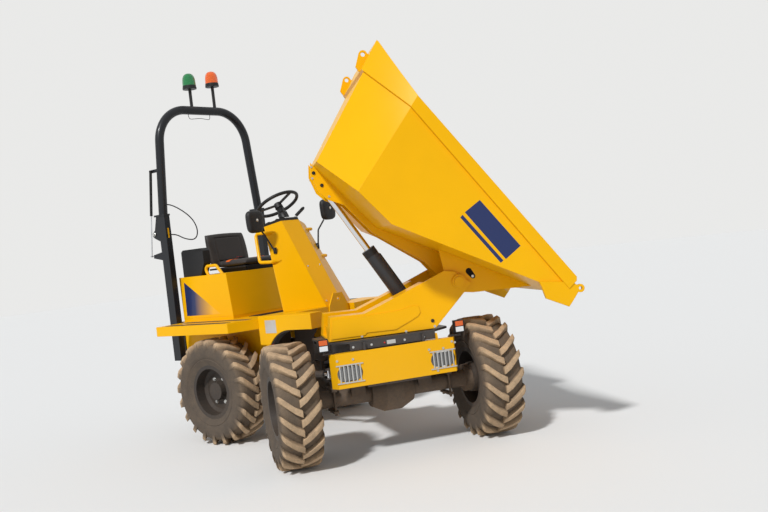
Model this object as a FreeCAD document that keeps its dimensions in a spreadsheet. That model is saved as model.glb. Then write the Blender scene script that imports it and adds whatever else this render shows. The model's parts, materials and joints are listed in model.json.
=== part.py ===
import FreeCAD, Part
import math
import os
import Sketcher
from FreeCAD import Placement, Rotation, Vector

# Articulated site dumper with a swivelling front-tip skip, in millimetres.
# Rear chassis frame: origin on the ground below the articulation pin, X forward, Y left, Z up.
# The front chassis, swivel frame and skip are each drawn straight and level in a frame of their own
# and then set in the pose of the parked machine.

doc = FreeCAD.newDocument("SiteDumper")
sheet = doc.addObject("Spreadsheet::Sheet", "Sizes")


class Size:
    """A number together with the sheet expression that gives it."""

    def __init__(self, value, text):
        self.value = value
        self.text = text

    def join(self, sign, other, value, swapped=False):
        left, right = (text_of(other), self.text) if swapped else (self.text, text_of(other))
        return Size(value, f"({left} {sign} {right})")

    def __add__(self, other):
        return self.join("+", other, self.value + number(other))

    def __radd__(self, other):
        return self.join("+", other, number(other) + self.value, swapped=True)

    def __sub__(self, other):
        return self.join("-", other, self.value - number(other))

    def __rsub__(self, other):
        return self.join("-", other, number(other) - self.value, swapped=True)

    def __mul__(self, other):
        return self.join("*", other, self.value * number(other))

    def __rmul__(self, other):
        return self.join("*", other, number(other) * self.value, swapped=True)

    def __truediv__(self, other):
        return self.join("/", other, self.value / number(other))

    def __neg__(self):
        return Size(-self.value, f"(0 - {self.text})")


def number(size):
    return size.value if isinstance(size, Size) else float(size)


def text_of(size):
    return size.text if isinstance(size, Size) else repr(float(size))


# Driving dimensions: name, value, what it is
SIZES = [
    ("steer_rest", -34.0, "angle of the front chassis, right lock"),
    ("swivel_rest", 83.0, "angle of the skip to the left of the front chassis"),
    ("tip_rest", 50.7, "angle of the skip, nose down"),
    ("gap", 0.3, "running gap between pieces that move on each other"),
    ("plate", 8.0, "folded panel"),
    ("heavy", 15.0, "chassis plate"),
    # wheels
    ("axle_z", 422.5, "height of the axles"),
    ("tyre_rad", 422.5, "tyre over the lugs"),
    ("tyre_wide", 290.0, "tyre section"),
    ("lug_high", 34.5, "height of the lugs"),
    ("rim_rad", 200.0, "rim barrel"),
    ("flange_rad", 216.0, "rim flange"),
    ("rim_half", 112.0, "half width of the rim"),
    ("disc_in", 20.0, "wheel disc from the rim centre, outward"),
    ("hub_rad", 78.0, "hub cap"),
    ("track_half", 705.0, "half the wheel track"),
    ("rear_axle_x", -765.0, "rear axle from the articulation"),
    ("front_axle_x", 1100.0, "front axle from the articulation"),
    ("axle_rad", 60.0, "axle tube"),
    ("diff_rad", 140.0, "differential housing"),
    ("hub_face", 590.0, "half width of an axle over its hub flanges"),
    # rear frame
    ("rail_in", 230.0, "inner face of a rear rail"),
    ("rail_low", 490.0, "bottom of the rails"),
    ("rail_top", 700.0, "top of the rails"),
    ("rail_back", -1470.0, "rear end of the rails"),
    ("rail_front", -150.0, "front end of the rails at the bottom"),
    ("boss_rad", 75.0, "articulation boss"),
    ("boss_low", 460.0, "bottom of the boss"),
    ("boss_top", 560.0, "top of the boss"),
    ("king_rad", 30.0, "articulation pin"),
    ("fork_step", 15.0, "clear height between boss and fork plate"),
    ("fork_thick", 20.0, "fork plate"),
    ("back_half", 512.0, "half width of the rear plate"),
    ("back_low", 430.0, "bottom of the rear plate"),
    ("jaw_z", 538.0, "middle of the tow jaw"),
    ("jaw_gap", 44.0, "clear height in the tow jaw"),
    ("jaw_reach", 70.0, "tow pin behind the rear plate"),
    ("jaw_pin", 13.5, "tow pin bore"),
    # deck and nose
    ("deck_z", 965.0, "top of the deck"),
    ("deck_half", 860.0, "half width over the steps"),
    ("deck_back", -1330.0, "rear end of the steps"),
    ("step_front", -435.0, "front corner of the steps"),
    ("deck_front", -345.0, "front edge of the deck"),
    ("step_fold", 70.0, "folded edge of the steps"),
    ("fender_y", 505.0, "inner wheel panel"),
    ("fender_low", 560.0, "lowest edge of the inner wheel panel"),
    ("nose_z", 985.0, "top of the nose platform"),
    ("nose_half", 622.0, "half width of the nose"),
    ("wing_in", 486.0, "inner side of the nose wings"),
    ("nose_front", -60.0, "front of the nose between the wings"),
    ("wing_front", 230.0, "front of the wings"),
    ("wing_low", 868.0, "lower edge of the wings at the front"),
    ("nose_low", 760.0, "lower edge of the nose at the rear"),
    ("arch_x", -20.0, "centre of the arch over the front tyre"),
    ("arch_z", 600.0, "centre of the arch over the front tyre"),
    ("arch_rad", 268.0, "radius of that arch"),
    # engine and cover
    ("engine_back", -1320.0, "rear of the engine block"),
    ("engine_front", -880.0, "front of the engine block"),
    ("engine_half", 225.0, "half width of the engine block"),
    ("engine_low", 600.0, "bottom of the engine block"),
    ("engine_top", 1200.0, "top of the engine block"),
    ("cover_low", 990.0, "lower edge of the cover"),
    ("cover_top", 1345.0, "top of the cover"),
    ("cover_half", 495.0, "half width of the cover at the bottom"),
    ("cover_half_top", 473.0, "half width of the cover at the top"),
    ("cover_back", -1418.0, "rear of the cover at the bottom"),
    ("cover_back_top", -1450.0, "rear of the cover at the top"),
    ("cover_front", -775.0, "front of the cover at the bottom"),
    ("cover_front_top", -834.0, "front of the cover at the top"),
    ("cover_wall", 5.0, "cover sheet"),
    ("hinge_x", -1432.0, "hinge of the cover"),
    ("hinge_z", 999.0, "hinge of the cover"),
    ("hinge_rad", 9.0, "hinge knuckle"),
    ("hinge_pin", 5.0, "hinge pin"),
    # console
    ("console_front", -93.0, "console front face at its foot"),
    ("console_lean", 0.543, "how far the front face leans back for each millimetre of height"),
    ("console_half", 100.0, "half width of the front face"),
    ("console_back", -281.0, "rear edge at the foot"),
    ("console_back_lean", 0.40, "how far the rear edge leans back for each millimetre of height"),
    ("console_back_half", 400.0, "half width at the rear edge, at the foot"),
    ("console_taper", 0.228, "how far the rear half width closes for each millimetre of height"),
    ("console_top", 1723.0, "top of the front face"),
    ("console_top_back", 1686.0, "top of the rear edge"),
    ("console_wall", 5.0, "console sheet"),
    ("wheel_lean", 28.0, "lean of the steering column"),
    ("wheel_x", -620.0, "centre of the steering wheel"),
    ("wheel_z", 1872.0, "centre of the steering wheel"),
    ("wheel_rad", 182.0, "steering wheel rim"),
    ("grip_rad", 14.0, "steering wheel rim section"),
    # roll-over hoop
    ("leg_in", 525.0, "inner face of a hoop leg"),
    ("leg_wide", 56.0, "width of a lower leg"),
    ("leg_deep", 90.0, "depth of a lower leg"),
    ("leg_back", -1505.0, "rear face of a lower leg"),
    ("leg_low", 640.0, "foot of a lower leg"),
    ("leg_top", 1890.0, "top of a lower leg"),
    ("fold_z", 1745.0, "fold pin"),
    ("fold_x", -1575.0, "fold pin"),
    ("fold_rad", 11.0, "fold pin"),
    ("hoop_rad", 38.0, "hoop tube"),
    ("hoop_top", 2820.0, "centre line of the top of the hoop"),
    ("hoop_half", 475.0, "half width of the hoop where its legs would meet the top"),
    ("hoop_bend", 310.0, "bend of the hoop"),
    ("strut_x", -1540.0, "upper end of the gas strut"),
    ("strut_z", 2287.0, "upper end of the gas strut"),
    ("strut_foot_x", -1664.0, "lower end of the gas strut"),
    ("strut_foot_z", 1559.0, "lower end of the gas strut"),
    # steering ram
    ("steer_foot_x", -370.0, "rear end of the steering ram, on the rear frame"),
    ("steer_foot_y", -330.0, "rear end of the steering ram"),
    ("steer_eye_x", 255.0, "front end of the steering ram, on the front frame"),
    ("steer_eye_y", -235.0, "front end of the steering ram"),
    ("steer_z", 480.0, "height of the steering ram"),
    ("ear_gap", 64.0, "clear height between the ears at its ends"),
    # front chassis
    ("front_half", 200.0, "inner face of a front side plate"),
    ("front_back", 285.0, "rear of the front box"),
    ("front_low", 500.0, "bottom of the front side plates"),
    ("face_x", 1345.0, "rear face of the front plate"),
    ("face_half", 385.0, "half width of the flat front plate"),
    ("face_wing", 445.0, "half width over its wings"),
    ("face_low", 515.0, "bottom of the front plate"),
    ("face_top", 747.0, "top of the front plate"),
    ("lamp_y", 327.0, "head lamp from the middle"),
    ("lamp_z", 610.0, "height of a head lamp"),
    ("lamp_wide", 175.0, "head lamp opening"),
    ("lamp_high", 105.0, "head lamp opening"),
    ("side_lamp_x", 1306.0, "side lamp"),
    ("side_lamp_y", 480.0, "side lamp"),
    ("side_lamp_z", 812.0, "side lamp"),
    ("table_x", 965.0, "turntable axis from the articulation"),
    ("table_z", 815.0, "top of the turntable plate"),
    ("table_half", 430.0, "half width of the turntable plate"),
    ("table_back", 600.0, "rear edge of the turntable plate"),
    ("table_front", 1325.0, "front edge of the turntable plate"),
    # swivel frame, from the turntable axis
    ("swivel_z", 820.0, "bottom of the swivel base"),
    ("arm_out", 296.0, "outer face of an arm"),
    ("arm_in", 146.0, "inner face of an arm"),
    ("arm_back", -380.0, "rear end of the arms"),
    ("arm_flat", 984.0, "top of the arms at the rear"),
    ("arm_foot", 356.0, "front end of the base"),
    ("arm_plate", 12.0, "plate of the arms"),
    ("pivot_x", 553.0, "skip pivot"),
    ("pivot_z", 1117.0, "skip pivot"),
    ("pivot_rad", 25.0, "skip pivot pin"),
    ("ram_x", 270.0, "foot of the tip ram"),
    ("ram_z", 925.0, "foot of the tip ram"),
    ("ram_rad", 50.0, "tip ram barrel"),
    ("ram_long", 555.0, "tip ram barrel"),
    ("rod_rad", 24.0, "tip ram rod"),
    ("rod_gap", 1.0, "clearance of a rod in its barrel's bore"),
    ("bore_end", 5.0, "left of a bore behind its rod when the ram is shut"),
    # skip, from its pivot
    ("skip_half", 740.0, "half width at the rim"),
    ("skip_half_low", 722.0, "half width at the floor"),
    ("skip_wall", 8.0, "skip plate"),
    ("skip_floor", -105.0, "underside of the floor"),
    ("skip_rim", 594.0, "rim at the corner folds"),
    ("rim_raised", 712.0, "rim over the rear wall"),
    ("lip_x", 478.0, "front lip"),
    ("lip_z", 372.0, "front lip, underside"),
    ("lip_rim", 496.0, "rim at the lip"),
    ("slope_x", -646.0, "where the floor starts to rise"),
    ("back_x_low", -1262.0, "rear wall at the floor"),
    ("back_x_top", -1475.0, "rear wall at the rim"),
    ("back_half_low", 355.0, "half width of the rear wall at the floor"),
    ("back_half_top", 520.0, "half width of the rear wall at the rim"),
    ("fold_x_low", -943.0, "corner fold at the floor"),
    ("fold_x_top", -1090.0, "corner fold at the rim"),
    ("band_front", 406.0, "lower edge of the rim band at the lip"),
    ("band_back", 514.0, "lower edge of the rim band at the rear"),
    ("rim_out", 20.0, "how far the rim band stands out"),
    ("eye_x", -1066.0, "ram eye under the skip"),
    ("eye_z", -165.0, "ram eye under the skip"),
    ("girder_in", 70.0, "inner face of a girder plate"),
    ("cheek_out", 274.0, "outer face of a hinge cheek"),
]


class Table:
    """The sizes by name."""


S = Table()
for row, (name, value, meaning) in enumerate(SIZES, 1):
    sheet.set(f"A{row}", name)
    sheet.set(f"B{row}", str(value))
    sheet.setAlias(f"B{row}", name)
    sheet.set(f"C{row}", meaning)
    setattr(S, name, Size(value, f"Sizes.{name}"))
doc.recompute()


# Helpers that draw with the sheet's sizes

def bind(item, path, size):
    item.setExpression(path, text_of(size))


def tie(sketch, kind, geometry, point, size):
    place = sketch.addConstraint(Sketcher.Constraint(kind, -1, 1, geometry, point, number(size)))
    sketch.setExpression(f"Constraints[{place}]", text_of(size))


def draw(sketch, points, holes=()):
    """A closed outline of straight lines, and round holes as (across, up, radius)."""
    corners = [Vector(number(across), number(up), 0) for across, up in points]
    for here, corner in enumerate(corners):
        sketch.addGeometry(Part.LineSegment(corner, corners[(here + 1) % len(corners)]), False)
    for here, (across, up) in enumerate(points):
        sketch.addConstraint(Sketcher.Constraint("Coincident", here, 2, (here + 1) % len(points), 1))
        tie(sketch, "DistanceX", here, 1, across)
        tie(sketch, "DistanceY", here, 1, up)
    for across, up, radius in holes:
        centre = Vector(number(across), number(up), 0)
        ring = sketch.addGeometry(Part.Circle(centre, Vector(0, 0, 1), number(radius)), False)
        tie(sketch, "DistanceX", ring, 3, across)
        tie(sketch, "DistanceY", ring, 3, up)
        place = sketch.addConstraint(Sketcher.Constraint("Radius", ring, number(radius)))
        sketch.setExpression(f"Constraints[{place}]", text_of(radius))


PLANES = {"X": ("YZ_Plane", 1), "Y": ("XZ_Plane", -1), "Z": ("XY_Plane", 1)}


def slab(name, axis, low, high, points, holes=()):
    """A plate cut to an outline, lying across an axis from low to high."""
    body = doc.addObject("PartDesign::Body", name)
    sketch = body.newObject("Sketcher::SketchObject", name + "Outline")
    role, sense = PLANES[axis]
    plane = [feature for feature in body.Origin.OriginFeatures if feature.Role == role][0]
    sketch.AttachmentSupport = [(plane, "")]
    sketch.MapMode = "FlatFace"
    bind(sketch, "AttachmentOffset.Base.z", low if sense > 0 else 0 - high)
    draw(sketch, points, holes)
    pad = body.newObject("PartDesign::Pad", name + "Pad")
    pad.Profile = sketch
    bind(pad, "Length", high - low)
    return body


def box(name, low, high):
    """A rectangular block between two corners."""
    block = doc.addObject("Part::Box", name)
    for side, start, end in zip(("Length", "Width", "Height"), low, high):
        bind(block, side, end - start)
    for letter, start in zip("xyz", low):
        bind(block, f"Placement.Base.{letter}", start)
    return block


TURNS = {"X": Rotation(Vector(0, 1, 0), 90), "Y": Rotation(Vector(1, 0, 0), -90), "Z": Rotation()}


def rod(name, axis, centre, low, high, radius):
    """A round bar along an axis; centre gives its other two coordinates in X, Y, Z order."""
    bar = doc.addObject("Part::Cylinder", name)
    bar.Placement = Placement(Vector(), TURNS[axis])
    bind(bar, "Radius", radius)
    bind(bar, "Height", high - low)
    places = list(centre)
    places.insert("XYZ".index(axis), low)
    for letter, start in zip("xyz", places):
        bind(bar, f"Placement.Base.{letter}", start)
    return bar


def lathe(name, axis, centre, points, flip=False):
    """A turned solid: points are (radius, along) and revolve about the axis through centre."""
    body = doc.addObject("PartDesign::Body", name)
    sketch = body.newObject("Sketcher::SketchObject", name + "Profile")
    plane = [feature for feature in body.Origin.OriginFeatures if feature.Role == "XZ_Plane"][0]
    sketch.AttachmentSupport = [(plane, "")]
    sketch.MapMode = "FlatFace"
    draw(sketch, points)
    turn = body.newObject("PartDesign::Revolution", name + "Turn")
    turn.Profile = sketch
    turn.ReferenceAxis = (sketch, ["V_Axis"])
    turn.Angle = 360
    spin = TURNS[axis].multiply(Rotation(Vector(1, 0, 0), 180)) if flip else TURNS[axis]
    body.Placement = Placement(Vector(), spin)
    for letter, start in zip("xyz", centre):
        bind(body, f"Placement.Base.{letter}", start)
    return body


def loft(name, sections):
    """A solid ruled between flat outlines; each section is (height, points)."""
    sketches = []
    for level, points in sections:
        sketch = doc.addObject("Sketcher::SketchObject", name + "Section")
        bind(sketch, "Placement.Base.z", level)
        draw(sketch, points)
        sketches.append(sketch)
    solid = doc.addObject("Part::Loft", name)
    solid.Sections = sketches
    solid.Solid = True
    solid.Ruled = True
    return solid


def tube(name, points, radius, bend):
    """A round bar along straight runs joined by tangent arcs."""
    spots = [Vector(*[number(value) for value in point]) for point in points]
    edges, start = [], spots[0]
    for before, here, after in zip(spots, spots[1:], spots[2:]):
        back, ahead = (before - here).normalize(), (after - here).normalize()
        half = (math.pi - back.getAngle(ahead)) / 2
        reach = number(bend) * math.tan(half)
        first, last = here + back * reach, here + ahead * reach
        middle = (back + ahead).normalize()
        crown = here + middle * (number(bend) / math.cos(half) - number(bend))
        edges += [Part.LineSegment(start, first).toShape(), Part.Arc(first, crown, last).toShape()]
        start = last
    edges.append(Part.LineSegment(start, spots[-1]).toShape())
    profile = Part.Wire(Part.makeCircle(number(radius), spots[0], spots[1] - spots[0]))
    bar = doc.addObject("Part::Feature", name)
    bar.Shape = Part.Wire(edges).makePipeShell([profile], True, False)
    return bar


def fuse(name, pieces):
    joined = doc.addObject("Part::MultiFuse", name)
    joined.Shapes = pieces
    joined.Refine = True
    return joined


def common(name, pieces):
    shared = doc.addObject("Part::MultiCommon", name)
    shared.Shapes = pieces
    return shared


def cut(name, base, tools):
    trimmed = doc.addObject("Part::Cut", name)
    trimmed.Base = base
    trimmed.Tool = tools[0] if len(tools) == 1 else fuse(name + "Tools", tools)
    return trimmed


def turned(name, item, angle):
    """A piece swung about the vertical axis through the origin."""
    swung = doc.addObject("Part::Compound", name)
    swung.Links = [item]
    swung.Placement = Placement(Vector(), Rotation(Vector(0, 0, 1), angle))
    return swung


def across(side, near, far):
    """Low and high Y of what lies from near to far on one side of the machine."""
    return (near, far) if side > 0 else (0 - far, 0 - near)


NODES = []


def node(label, pieces, pose):
    """A named piece of the machine, made of its parts and set in the pose of the body it rides on."""
    if len(pieces) == 1:
        item = doc.addObject("Part::Compound", label)
        item.Links = pieces
    else:
        item = fuse(label, pieces)
    item.Label = label
    NODES.append((item, pose))


# Rest poses of the moving bodies
UP, LEFT = Vector(0, 0, 1), Vector(0, 1, 0)
REAR = Placement()
FRONT = Placement(Vector(), Rotation(UP, S.steer_rest.value))
SWIVEL = FRONT * Placement(Vector(S.table_x.value, 0, 0), Rotation(UP, S.swivel_rest.value))
PIVOT = Vector(S.pivot_x.value, 0, S.pivot_z.value)
SKIP = SWIVEL * Placement(PIVOT, Rotation(LEFT, S.tip_rest.value))

# Wheels: a tyre and a rim, both turned about the axle
WHEELS = [
    # name, pose, axle, side
    ("rear_right", REAR, S.rear_axle_x, -1),
    ("rear_left", REAR, S.rear_axle_x, 1),
    ("front_right", FRONT, S.front_axle_x, -1),
    ("front_left", FRONT, S.front_axle_x, 1),
]


SIDES, LUGS = 15, 18  # flat sides of a tyre's carcass, and lugs on each half of its tread
LUG_LEAD = 15  # degrees by which the middle of the tread runs ahead of its shoulders


def spot(turn, radius, along):
    """A point on a tyre, by its angle about the axle in degrees."""
    return Vector(radius * math.cos(math.radians(turn)), along, radius * math.sin(math.radians(turn)))


def closed(rings):
    """A solid with flat sides, stacked from rings of corners; its sides are cut in triangles."""
    sides = []
    for near, far in zip(rings, rings[1:]):
        for here, (low, high) in enumerate(zip(near, far)):
            after = (here + 1) % len(near)
            sides += [(low, near[after], far[after]), (low, far[after], high)]
    for ring in (rings[0], rings[-1]):
        sides += [(ring[0], ring[here], ring[here + 1]) for here in range(1, len(ring) - 1)]
    return Part.makeSolid(Part.makeShell([Part.Face(Part.makePolygon([*side, side[0]])) for side in sides]))


def carcass():
    """The tyre without its lugs: a ring of flat sides whose bore clears the round rim."""
    bore = S.rim_rad.value / math.cos(math.pi / SIDES)
    half, seat, tread = S.tyre_wide.value / 2, S.rim_half.value, S.tyre_rad.value - S.lug_high.value
    profile = [(bore, -seat), (bore + 25, -seat), (297, -half), (tread, 23 - half),
               (tread, half - 23), (297, half), (bore + 25, seat), (bore, seat)]
    pitch = 360 / SIDES
    sides = []
    for step in range(SIDES):
        for (near, low), (far, high) in zip(profile, profile[1:] + profile[:1]):
            corners = [spot(pitch * step, near, low), spot(pitch * step + pitch, near, low),
                       spot(pitch * step + pitch, far, high), spot(pitch * step, far, high)]
            sides.append(Part.Face(Part.makePolygon(corners + corners[:1])))
    return Part.makeSolid(Part.makeShell(sides))


def lug(start, side):
    """One bar of the tread, from the middle of the tyre out over its shoulder."""
    rings = []
    for share, along, low_along, low, high, low_half, high_half in (
            (0, 4, 4, S.tyre_rad.value - 50, S.tyre_rad.value, 4.2, 3.3),
            (0.9, 128, 142, S.tyre_rad.value - 70, S.tyre_rad.value - 6, 4.0, 3.0)):
        turn = start + LUG_LEAD * share
        rings.append([spot(turn - low_half, low, side * low_along),
                      spot(turn + low_half, low, side * low_along),
                      spot(turn + high_half, high, side * along), spot(turn - high_half, high, side * along)])
    return closed(rings)


tread = doc.addObject("Part::Feature", "Tread")
tread.Shape = carcass().fuse([lug(360 / LUGS * step + (180 / LUGS if side > 0 else 0), side)
                              for step in range(LUGS) for side in (-1, 1)]).removeSplitter()


def tyre(name, axle, side):
    fitted = doc.addObject("Part::Compound", name)
    fitted.Links = [tread]
    for letter, start in zip("xyz", (axle, side * S.track_half, S.axle_z)):
        bind(fitted, f"Placement.Base.{letter}", start)
    return fitted


def rim(name, axle, side):
    thin = 6
    barrel = S.rim_rad - S.gap
    profile = [(0, S.hub_face - S.track_half), (S.hub_rad + 25, S.hub_face - S.track_half),
               (S.hub_rad + 40, S.disc_in - thin), (barrel - 55, S.disc_in - thin),
               (barrel - 22, S.disc_in - 35), (barrel - 14, 0 - S.rim_half - thin),
               (S.flange_rad, 0 - S.rim_half - thin), (S.flange_rad, 0 - S.rim_half - S.gap),
               (barrel, 0 - S.rim_half - S.gap), (barrel, S.rim_half + S.gap),
               (S.flange_rad, S.rim_half + S.gap),
               (S.flange_rad, S.rim_half + thin), (barrel - 14, S.rim_half + thin),
               (barrel - 22, S.disc_in + 20), (barrel - 50, S.disc_in + thin), (S.hub_rad, S.disc_in + thin),
               (S.hub_rad - 8, S.disc_in + 55), (0, S.disc_in + 60)]
    return lathe(name, "Y", (axle, side * S.track_half, S.axle_z), profile, flip=side < 0)


for name, pose, axle, side in WHEELS:
    node("tyre_" + name, [tyre("Tyre" + name, axle, side)], pose)
    node("rim_" + name, [rim("Rim" + name, axle, side)], pose)


# Axles: a tube with its differential housing, hub flanges and the pads it is bolted up by

def axle_beam(name, axle, seat, pad_in, pad_out):
    face = S.hub_face - S.gap
    parts = [rod(name + "Tube", "Y", (axle, S.axle_z), 0 - face, face, S.axle_rad),
             lathe(name + "Housing", "Y", (axle, 0, S.axle_z),
                   [(0, -150), (95, -150), (S.diff_rad, -60), (S.diff_rad, 60), (95, 150), (0, 150)])]
    for side in (-1, 1):
        parts.append(rod(f"{name}Hub{side}", "Y", (axle, S.axle_z), *across(side, face - 45, face), 95))
        low, high = across(side, pad_in, pad_out)
        parts.append(box(f"{name}Pad{side}", (axle - 65, low, S.axle_z), (axle + 65, high, seat)))
    return parts


node("rear_axle", axle_beam("RearAxle", S.rear_axle_x, S.rail_low, S.rail_in - 10, S.rail_in + 90), REAR)
front_beam = axle_beam("FrontAxle", S.front_axle_x, S.front_low, S.front_half - 10, S.front_half + 90)
for side in (-1, 1):
    for end in (-1, 1):
        low, high = across(side, 404, 424)
        spot = (S.front_axle_x + end * 75, side * 414)
        front_beam.append(rod(f"ClampRod{side}{end}", "Z", spot, S.axle_z - 105, S.axle_z + 105, 9))
    low, high = across(side, 396, 432)
    front_beam.append(box(f"ClampFoot{side}", (S.front_axle_x - 95, low, S.axle_z - 90),
                          (S.front_axle_x + 95, high, S.axle_z - 75)))
    front_beam.append(box(f"ClampHead{side}", (S.front_axle_x - 95, low, S.axle_z + 55),
                          (S.front_axle_x + 95, high, S.axle_z + 80)))
node("front_axle", front_beam, FRONT)

# Rear frame: two rails, a front bulkhead with the articulation boss, cross bars and the rear plate
rear_parts = []
for side in (-1, 1):
    low, high = across(side, S.rail_in, S.rail_in + S.heavy)
    rear_parts.append(slab(f"Rail{side}", "Y", low, high, [
        (S.rail_back, S.rail_low), (S.rail_back, S.rail_top), (S.deck_front, S.rail_top),
        (S.deck_front, S.deck_z - S.plate), (S.deck_front, S.nose_z - S.plate),
        (S.nose_front - S.plate, S.nose_z - S.plate), (S.nose_front - S.plate, 860),
        (S.rail_front, S.rail_top + 60), (S.rail_front, S.rail_low + 90), (S.steer_foot_x + 40, S.rail_low)]))
    for place, low_x in (("Rear", S.rail_back), ("Front", S.deck_front - 55)):
        reach = S.leg_in if place == "Rear" else S.fender_y
        low, high = across(side, S.rail_in + S.heavy, reach)
        rear_parts.append(box(f"Outrigger{place}{side}", (low_x, low, S.rail_top - 60),
                              (low_x + 40, high, S.rail_top)))
shoulder = S.rail_low + 90
rear_parts.append(slab("Bulkhead", "X", S.rail_front - S.heavy, S.rail_front, [
    (-180, S.boss_low - 30), (180, S.boss_low - 30), (180, shoulder - 20), (S.rail_in, shoulder),
    (S.rail_in, S.rail_top), (0 - S.rail_in, S.rail_top), (0 - S.rail_in, shoulder), (-180, shoulder - 20)]))
rail_out = 0 - S.rail_in - S.heavy
ear_low, ear_top = S.steer_z - S.ear_gap / 2, S.steer_z + S.ear_gap / 2
rear_parts.append(box("EarPlate", (S.steer_foot_x - 50, rail_out - 8, ear_low - 30),
                      (S.steer_foot_x + 50, rail_out, ear_top + 70)))
for place, level in (("Low", ear_low - 8), ("High", ear_top)):
    rear_parts.append(slab("SteerEar" + place, "Z", level, level + 8, [
        (S.steer_foot_x - 50, rail_out - 8), (S.steer_foot_x + 50, rail_out - 8),
        (S.steer_foot_x + 22, S.steer_foot_y - 22), (S.steer_foot_x - 22, S.steer_foot_y - 22)],
        holes=[(S.steer_foot_x, S.steer_foot_y, 13)]))
for place, low_x in (("Back", S.engine_back + 40), ("Fore", S.engine_front - 80)):
    rear_parts.append(box("Cross" + place, (low_x, 0 - S.rail_in, S.engine_low - 40),
                          (low_x + 40, S.rail_in, S.engine_low)))
for place, level in (("Low", S.boss_low + 10), ("High", S.boss_top - 30)):
    rear_parts.append(slab("Web" + place, "Z", level, level + 20, [
        (S.rail_front, -150), (0, -70), (0, 70), (S.rail_front, 150)]))
rear_parts.append(rod("Boss", "Z", (0, 0), S.boss_low, S.boss_top, S.boss_rad))
rear_parts.append(slab("BackPlate", "X", S.rail_back - S.heavy, S.rail_back, [
    (-330, S.back_low), (330, S.back_low), (S.back_half - 40, S.rail_low + 60),
    (S.back_half - 40, S.deck_z - S.plate),
    (40 - S.back_half, S.deck_z - S.plate), (40 - S.back_half, S.rail_low + 60)]))
for place, level in (("Low", S.jaw_z - S.jaw_gap / 2 - 16), ("High", S.jaw_z + S.jaw_gap / 2)):
    rear_parts.append(slab("Jaw" + place, "Z", level, level + 16, [
        (S.rail_back - S.heavy, -75), (S.rail_back - S.heavy - S.jaw_reach - 35, -40),
        (S.rail_back - S.heavy - S.jaw_reach - 35, 40), (S.rail_back - S.heavy, 75)]))
node("rear_frame", [cut("RearFrameBored", fuse("RearFrameWhole", rear_parts), [
    rod("KingBore", "Z", (0, 0), S.boss_low - 1, S.boss_top + 1, S.king_rad + S.gap),
    rod("TowBore", "Z", (S.rail_back - S.heavy - S.jaw_reach, 0), S.jaw_z - 60, S.jaw_z + 60, S.jaw_pin)])],
    REAR)

node("engine_block", [box("Engine", (S.engine_back, 0 - S.engine_half, S.engine_low),
                          (S.engine_front, S.engine_half, S.engine_top))], REAR)

# Deck: one plate with both steps, their folded edges, the inner wheel panels and a seal ring for the cover
deck_in = S.fender_y + S.plate
deck_plate = slab("DeckPlate", "Z", S.deck_z - S.plate, S.deck_z, [
    (S.deck_back, 0 - S.deck_half), (S.step_front, 0 - S.deck_half), (S.deck_front, 0 - S.nose_half),
    (S.deck_front, S.nose_half), (S.step_front, S.deck_half), (S.deck_back, S.deck_half),
    (S.deck_back, deck_in), (S.leg_back + S.leg_deep + 10, deck_in - 8),
    (S.leg_back + S.leg_deep + 10, S.cover_half + 5),
    (S.rail_back - S.heavy, S.cover_half + 5), (S.rail_back - S.heavy, 0 - S.cover_half - 5),
    (S.leg_back + S.leg_deep + 10, 0 - S.cover_half - 5), (S.leg_back + S.leg_deep + 10, 8 - deck_in),
    (S.deck_back, 0 - deck_in)])
mouth = box("DeckMouth", (S.cover_back + 20, 20 - S.cover_half, S.deck_z - 40),
            (S.cover_front - 20, S.cover_half - 20, S.deck_z + 60))
seal = box("SealRing", (S.cover_back, 0 - S.cover_half, S.deck_z),
           (S.cover_front, S.cover_half, S.cover_low - S.gap))
deck_parts = [cut("DeckTop", fuse("DeckWhole", [deck_plate, seal]), [mouth])]
for side in (-1, 1):
    low_z, top_z = S.deck_z - S.plate - S.step_fold, S.deck_z - S.plate
    low, high = across(side, S.deck_half - S.plate, S.deck_half)
    deck_parts.append(box(f"StepEdge{side}", (S.deck_back, low, low_z), (S.step_front, high, top_z)))
    low, high = across(side, deck_in, S.deck_half)
    deck_parts.append(box(f"StepEnd{side}", (S.deck_back, low, low_z), (S.deck_back + S.plate, high, top_z)))
    deck_parts.append(slab(f"StepTurn{side}", "Z", low_z, top_z, [
        (S.step_front, side * S.deck_half), (S.deck_front, side * S.nose_half),
        (S.deck_front - S.plate, side * S.nose_half), (S.step_front - S.plate, side * S.deck_half)]))
    low, high = across(side, S.fender_y, deck_in)
    deck_parts.append(slab(f"WheelPanel{side}", "Y", low, high, [
        (S.leg_back + S.leg_deep + 10, S.rail_top), (S.deck_front, S.fender_low), (S.deck_front, top_z),
        (S.leg_back + S.leg_deep + 10, top_z)]))
for side in (-1, 1):
    low, high = across(side, 240 + S.gap, 280)
    deck_parts.append(box(f"HingeLeaf{side}", (S.hinge_x - S.hinge_rad, low, S.deck_z),
                          (S.hinge_x, high, S.hinge_z)))
    deck_parts.append(rod(f"HingeKnuckle{side}", "Y", (S.hinge_x, S.hinge_z), low, high, S.hinge_rad))
    low, high = across(side, 200, 280)
    deck_parts.append(rod(f"HingePin{side}", "Y", (S.hinge_x, S.hinge_z), low, high, S.hinge_pin))
node("deck", deck_parts, REAR)

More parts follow.
